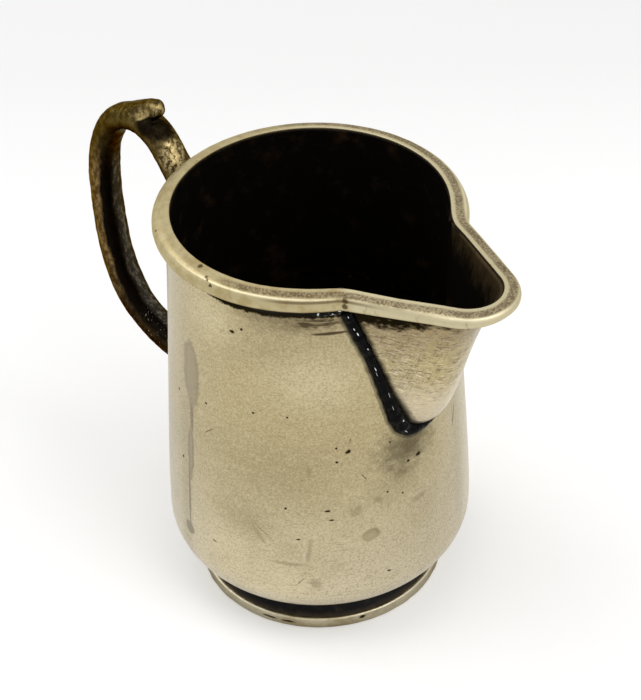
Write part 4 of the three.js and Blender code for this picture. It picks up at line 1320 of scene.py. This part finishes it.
def handle_line(count):
    """The handle's middle line as (distance from the axis, height), evenly spaced, and its crest."""
    crest = np.array((MOUTH_RADIUS + HANDLE_CREST_OUT, RIM_HEIGHT - HANDLE_CREST_DROP))
    far = np.array((BELLY_RADIUS + HANDLE_PROJECTION, RIM_HEIGHT - HANDLE_REACH_DROP))
    upper, lower = np.array(wall_points((RIM_HEIGHT - HANDLE_UPPER_DROP, BELLY_HEIGHT + HANDLE_LOWER_RISE)))

    def between(a, b, across, rise):
        return a + (b - a) * (across, rise)

    runs = [
        (upper, between(upper, crest, 0.43, 0.21), between(crest, upper, 0.43, 0), crest),
        (crest, between(crest, far, 0.7, 0), between(far, crest, 0, 0.52), far),
        (far, between(far, lower, 0, 0.67), between(lower, far, 0.86, -0.05), lower),
    ]
    share = np.linspace(0, 1, 300)
    points = np.vstack([bezier(run, share)[(0 if i == 0 else 1):] for i, run in enumerate(runs)])
    return spaced(points, count), crest


def rounded(sides, power=0.86):
    """A closed section one across, squarer than a circle where the power is under 1."""
    angles = np.linspace(0, 2 * math.pi, sides, endpoint=False)

    def soft(v):
        return np.sign(v) * np.abs(v) ** power / 2

    return np.column_stack((soft(np.cos(angles)), soft(np.sin(angles))))


def outward_of(line):
    """The way out of the bend at each point of a flat line."""
    tangent = np.gradient(line, axis=0)
    tangent /= np.hypot(*tangent.T)[:, None]
    return np.column_stack((-tangent[:, 1], tangent[:, 0]))


def bar(name, line, widths, thicknesses, sides):
    """A cast bar along a line in the plane of symmetry, closed at both ends."""
    out, zeros = outward_of(line), np.zeros(len(line))
    path = np.column_stack((-line[:, 0], zeros, line[:, 1]))
    across = np.column_stack((-out[:, 0], zeros, out[:, 1])) * thicknesses[:, None]
    up = np.column_stack((zeros, widths, zeros))
    return sweep(name, *closed_ends(path, across, up), rounded(sides), cast_finish)


def combine(thing, other, operation):
    modifier = thing.modifiers.new("combine", "BOOLEAN")
    modifier.operation = operation
    modifier.object = other
    modifier.solver = "EXACT"
    apply_modifiers(thing)
    bpy.data.objects.remove(other)


def ball(name, centre, radius):
    work = bmesh.new()
    bmesh.ops.create_uvsphere(work, u_segments=48, v_segments=24, radius=radius)
    bmesh.ops.translate(work, verts=work.verts, vec=centre)
    mesh = bpy.data.meshes.new(name)
    work.to_mesh(mesh)
    work.free()
    return new_object(name, mesh)


def make_bar():
    """The handle's curved bar, flared at its roots, which run on into the wall."""
    line, crest = handle_line(HANDLE_STATIONS)
    run = lengths_along(line)
    share = run / run[-1]
    end = np.clip(1 - np.minimum(run, run[-1] - run) / HANDLE_ROOT_RUN, 0, 1)
    flare = 1 + (np.where(share < 0.5, UPPER_ROOT_FLARE, LOWER_ROOT_FLARE) - 1) * end ** 2
    build = np.clip((share - HANDLE_BUILD_FROM) / (HANDLE_BUILD_TO - HANDLE_BUILD_FROM), 0, 1)
    build = build * build * (3 - 2 * build)
    size = flare * (HANDLE_UPPER_SHARE + (1 - HANDLE_UPPER_SHARE) * build)
    ahead = (line[0] - line[1]) / np.hypot(*(line[0] - line[1]))
    after = (line[-1] - line[-2]) / np.hypot(*(line[-1] - line[-2]))
    sunk = np.arange(1, 8)[:, None] * 0.8
    line = np.vstack((line[0] + ahead * sunk[::-1], line, line[-1] + after * sunk))
    size = np.pad(size, len(sunk), "edge")
    return bar("handle", line, HANDLE_WIDTH * size, HANDLE_THICKNESS * size, 40), line, crest


def make_spur(crest):
    """The thumb spur, tapering up from the crest, with a shallow hollow scooped from each side."""
    tip = crest + (-SPUR_LENGTH, SPUR_RISE - SPUR_TIP / 2)
    root = crest + (HANDLE_THICKNESS * 0.66, -HANDLE_THICKNESS * 0.06)
    t = np.linspace(0, 1, 60)
    taper = t ** 2.2
    nose = np.sqrt(np.clip(1 - np.clip((t - 0.87) / 0.13, 0, 1) ** 2, 0.04, 1))
    widths = (HANDLE_WIDTH * 0.9 * (1 - taper) + SPUR_TIP * taper) * nose
    thicks = (HANDLE_THICKNESS * 0.88 * (1 - taper) + (SPUR_TIP + 0.3) * taper) * nose
    spur = bar("spur", root + (tip - root) * t[:, None], widths, thicks, 32)
    spot = root + (tip - root) * SCOOP_PLACE
    aside = float(np.interp(SCOOP_PLACE, t, widths)) / 2 + SCOOP_RADIUS - SCOOP_DEPTH
    for side in (-1, 1):
        combine(spur, ball("scoop", (-spot[0], side * aside, spot[1] - 0.8), SCOOP_RADIUS), "DIFFERENCE")
    return spur


def cast_in_one(handle):
    """Runs the bar and its spur together, with the soft lumps of a casting."""
    remesh = handle.modifiers.new("cast", "REMESH")
    remesh.mode = "VOXEL"
    remesh.voxel_size = CAST_VOXEL
    remesh.use_smooth_shade = True
    soften = handle.modifiers.new("soften", "SMOOTH")
    soften.factor = 0.5
    soften.iterations = 5
    mesh = apply_modifiers(handle)
    directions = normals_of(mesh)
    points = ripple(vertices_of(mesh), directions, 5.0, 0.16, 1)
    move_vertices(mesh, ripple(points, directions, 1.5, 0.07, 2))


def cut_to_body(handle):
    """Cuts the handle's roots off within the body's wall."""
    wall = wall_points(np.linspace(BELLY_HEIGHT + 2, RIM_HEIGHT, 60), inward=WALL / 2)
    core = spin("core", [(0.0, 12.0), (28.0, 12.0), *wall, (0.0, RIM_HEIGHT)], CORE_STEPS, cast_finish)
    close_faces(core.data, MERGE)
    combine(handle, core, "DIFFERENCE")


def mark_handle(mesh, line):
    """Keeps each vertex's share along the handle, and how far it lies to the outside of the bend."""
    points = vertices_of(mesh)
    nearest = np.full(len(points), FAR_AWAY)
    station = np.zeros(len(points), int)
    plan = np.column_stack((-points[:, 0], points[:, 2]))
    for i, spot in enumerate(line):
        far = ((plan - spot) ** 2).sum(axis=1)
        closer = far < nearest
        nearest[closer] = far[closer]
        station[closer] = i
    outward = ((plan - line[station]) * outward_of(line)[station]).sum(axis=1)
    add_values(mesh, "outward", outward / (HANDLE_THICKNESS / 2))
    add_values(mesh, "flank", -points[:, 1] / (HANDLE_WIDTH / 2))
    add_values(mesh, "along", station / (len(line) - 1))


def make_handle():
    handle, line, crest = make_bar()
    combine(handle, make_spur(crest), "UNION")
    cast_in_one(handle)
    cut_to_body(handle)
    mesh = handle.data
    mark_handle(mesh, line)
    shade_smooth(mesh)
    mesh.materials.clear()
    mesh.materials.append(cast_finish)
    place_piece(handle, "cast_metal", "handle", "handle_upper_solder", "handle_lower_solder")


make_handle()


# Solder.

def round_section(sides, axis, share):
    """A circle whose inward half, within the sheet, is drawn in."""
    section = rounded(sides, 1.0) * 2
    section[:, axis] *= np.where(section[:, axis] < 0, share, 1)
    return section


BEAD_LUMPS = (0.55, 1.3, 2.0)
FILLET_LUMPS = (0.35, 1.1, 1.6)


def make_seam_bead():
    """The black bead of solder round the spout's seam."""
    share, path, across, out, wide = bead_line()
    wide = wide * np.clip(np.minimum(share, 1 - share) / 0.01, 0.05, 1)
    path, across, out = closed_ends(path, across * wide[:, None], out * (wide * 0.85)[:, None])
    thing = sweep("seam_bead", path, across, out, round_section(32, 1, 0.4), bead_finish, BEAD_LUMPS)
    place_piece(thing, "dark_solder", "spout_seam_solder")


# The size of the fillet at degrees round from the spout, on its near side.
FILLET_SIZE = ((34, 1.35), (50, 1.15), (68, 0.95), (80, 0.85), (88, 0.7), (94, 0.4), (300, 0.4), (330, 0.6))


def make_rim_fillet():
    """The fillet of solder under the mouth wire, heaviest near the spout."""
    first = math.radians(NEAR_HALF_ANGLE + 0.8)
    last = math.radians(FAR_HALF_ANGLE + 0.8)
    angles = np.linspace(-first, -2 * math.pi + last, FILLET_STATIONS)
    outs = np.column_stack((circle_points(angles, 1), np.zeros(len(angles))))
    path = outs * wall_radius(WIRE_FOOT) + (0, 0, WIRE_FOOT)
    wobble = np.array([noise.noise(Vector((math.cos(a) * 9, math.sin(a) * 9, 0.5))) for a in angles])
    size = read_off(-np.degrees(angles), FILLET_SIZE) * (1 + 0.3 * wobble)
    up = np.column_stack((np.zeros((len(path), 2)), size * 2.1))
    path, across, up = closed_ends(path, outs * size[:, None], up)
    thing = sweep("rim_fillet", path, across, up, round_section(16, 0, 0.4), fillet_finish, FILLET_LUMPS)
    place_piece(thing, "dull_solder", "rim_solder")


make_seam_bead()
make_rim_fillet()


# Table, light and camera.

TABLE_HALF = 3.0  # half of the table's side, in metres
WHITE = (1, 1, 1)
WORLD_LIGHT = 0.72  # what falls on the jug
WORLD_GLOW = 0.23  # what is added to it where the world is seen directly


def cleared(owner):
    """The empty node tree of a material or world."""
    owner.use_nodes = True
    owner.node_tree.nodes.clear()
    return owner.node_tree


def seen_directly(tree):
    """1 for what the camera and reflections see, so that a white ground stays white there."""
    rays = tree.nodes.new("ShaderNodeLightPath").outputs
    names = ("Is Camera Ray", "Is Glossy Ray", "Is Transmission Ray")
    return union([Value(tree, rays[name]) for name in names])


def make_table():
    corners = [(x * TABLE_HALF, y * TABLE_HALF, 0) for x, y in ((-1, -1), (1, -1), (1, 1), (-1, 1))]
    mesh = new_mesh("table", corners, [(0, 1, 2, 3)])
    table = new_object("table", mesh)
    finish = bpy.data.materials.new("white table")
    tree = cleared(finish)
    place = put(tree, "ShaderNodeTexCoord", out="Object")
    back = place.part("Y") - place.part("X")
    glow = put(tree, "ShaderNodeMapRange", back, 0.04, 0.3, 0.155, 0.0)
    # The table's white is painted a little darker towards the back: painted shade standing in for the light's
    # falloff.
    table_white_shaded_back = put(tree, "ShaderNodeMapRange", back, 0.1, 0.36, 0.86, 0.82)
    cloth = put(tree, "ShaderNodeBsdfDiffuse", table_white_shaded_back, 0.5)
    light = put(tree, "ShaderNodeEmission", WHITE, seen_directly(tree) * glow)
    surface = put(tree, "ShaderNodeAddShader", cloth, light)
    fill(tree, tree.nodes.new("ShaderNodeOutputMaterial").inputs["Surface"], surface)
    mesh.materials.append(finish)


def make_world():
    world = bpy.data.worlds.new("studio")
    bpy.context.scene.world = world
    tree = cleared(world)
    strength = seen_directly(tree) * WORLD_GLOW + WORLD_LIGHT
    background = put(tree, "ShaderNodeBackground", WHITE, strength)
    fill(tree, tree.nodes.new("ShaderNodeOutputWorld").inputs["Surface"], background)


def make_lamp(name, azimuth, elevation, distance, size, power):
    """A soft square lamp aimed at the middle of the jug; azimuth 0 is straight ahead of -Y."""
    light = bpy.data.lights.new(name, "AREA")
    light.shape = "SQUARE"
    light.size = size
    light.energy = power
    thing = new_object(name, light)
    a, e = math.radians(azimuth - 90), math.radians(elevation)
    target = Vector((0, 0, 0.05))
    toward = Vector((math.cos(a) * math.cos(e), math.sin(a) * math.cos(e), math.sin(e)))
    thing.location = target + toward * distance
    thing.rotation_euler = (target - thing.location).to_track_quat("-Z", "Y").to_euler()


make_table()
make_world()
make_lamp("key", -60, 55, 0.9, 0.8, 3.2)
make_lamp("fill", 100, 50, 0.9, 0.6, 2.6)

# The camera, found from the photograph's own perspective: millimetres, degrees, and pixels for its
# focal length and for how far the point that it circles lies off the picture's middle.
CAMERA_DISTANCE = 480
CAMERA_ELEVATION = 39.56
CAMERA_AZIMUTH = 45.3
CAMERA_ROLL = -1.93
FOCAL_PIXELS = 2096.92
AIM_X, AIM_Y = -5.23, 33.49
AIM_HEIGHT = 50
PICTURE_HEIGHT = 700


def make_camera():
    e = math.radians(CAMERA_ELEVATION)
    back = Vector((0, -math.cos(e), math.sin(e)))
    right = Vector((1, 0, 0))
    up = back.cross(right)
    place = Vector((0, 0, AIM_HEIGHT)) + back * CAMERA_DISTANCE
    ahead = (-back * FOCAL_PIXELS - right * AIM_X + up * AIM_Y).normalized()
    level = ahead.cross(Vector((0, 0, 1))).normalized()
    above = level.cross(ahead)
    roll = math.radians(CAMERA_ROLL)
    x = level * math.cos(roll) + above * math.sin(roll)
    y = above * math.cos(roll) - level * math.sin(roll)
    turn = Matrix.Rotation(math.radians(CAMERA_AZIMUTH), 4, "Z")
    matrix = turn @ Matrix((x, y, -ahead)).transposed().to_4x4()
    matrix.translation = turn @ place * MM + Vector((AXIS_X, 0, 0))
    camera = bpy.data.cameras.new("camera")
    camera.sensor_width = 36
    camera.lens = FOCAL_PIXELS * camera.sensor_width / PICTURE_HEIGHT
    camera.clip_start = 0.01
    thing = new_object("camera", camera)
    thing.matrix_world = matrix
    bpy.context.scene.camera = thing


make_camera()

bpy.context.scene.view_settings.view_transform = "Standard"
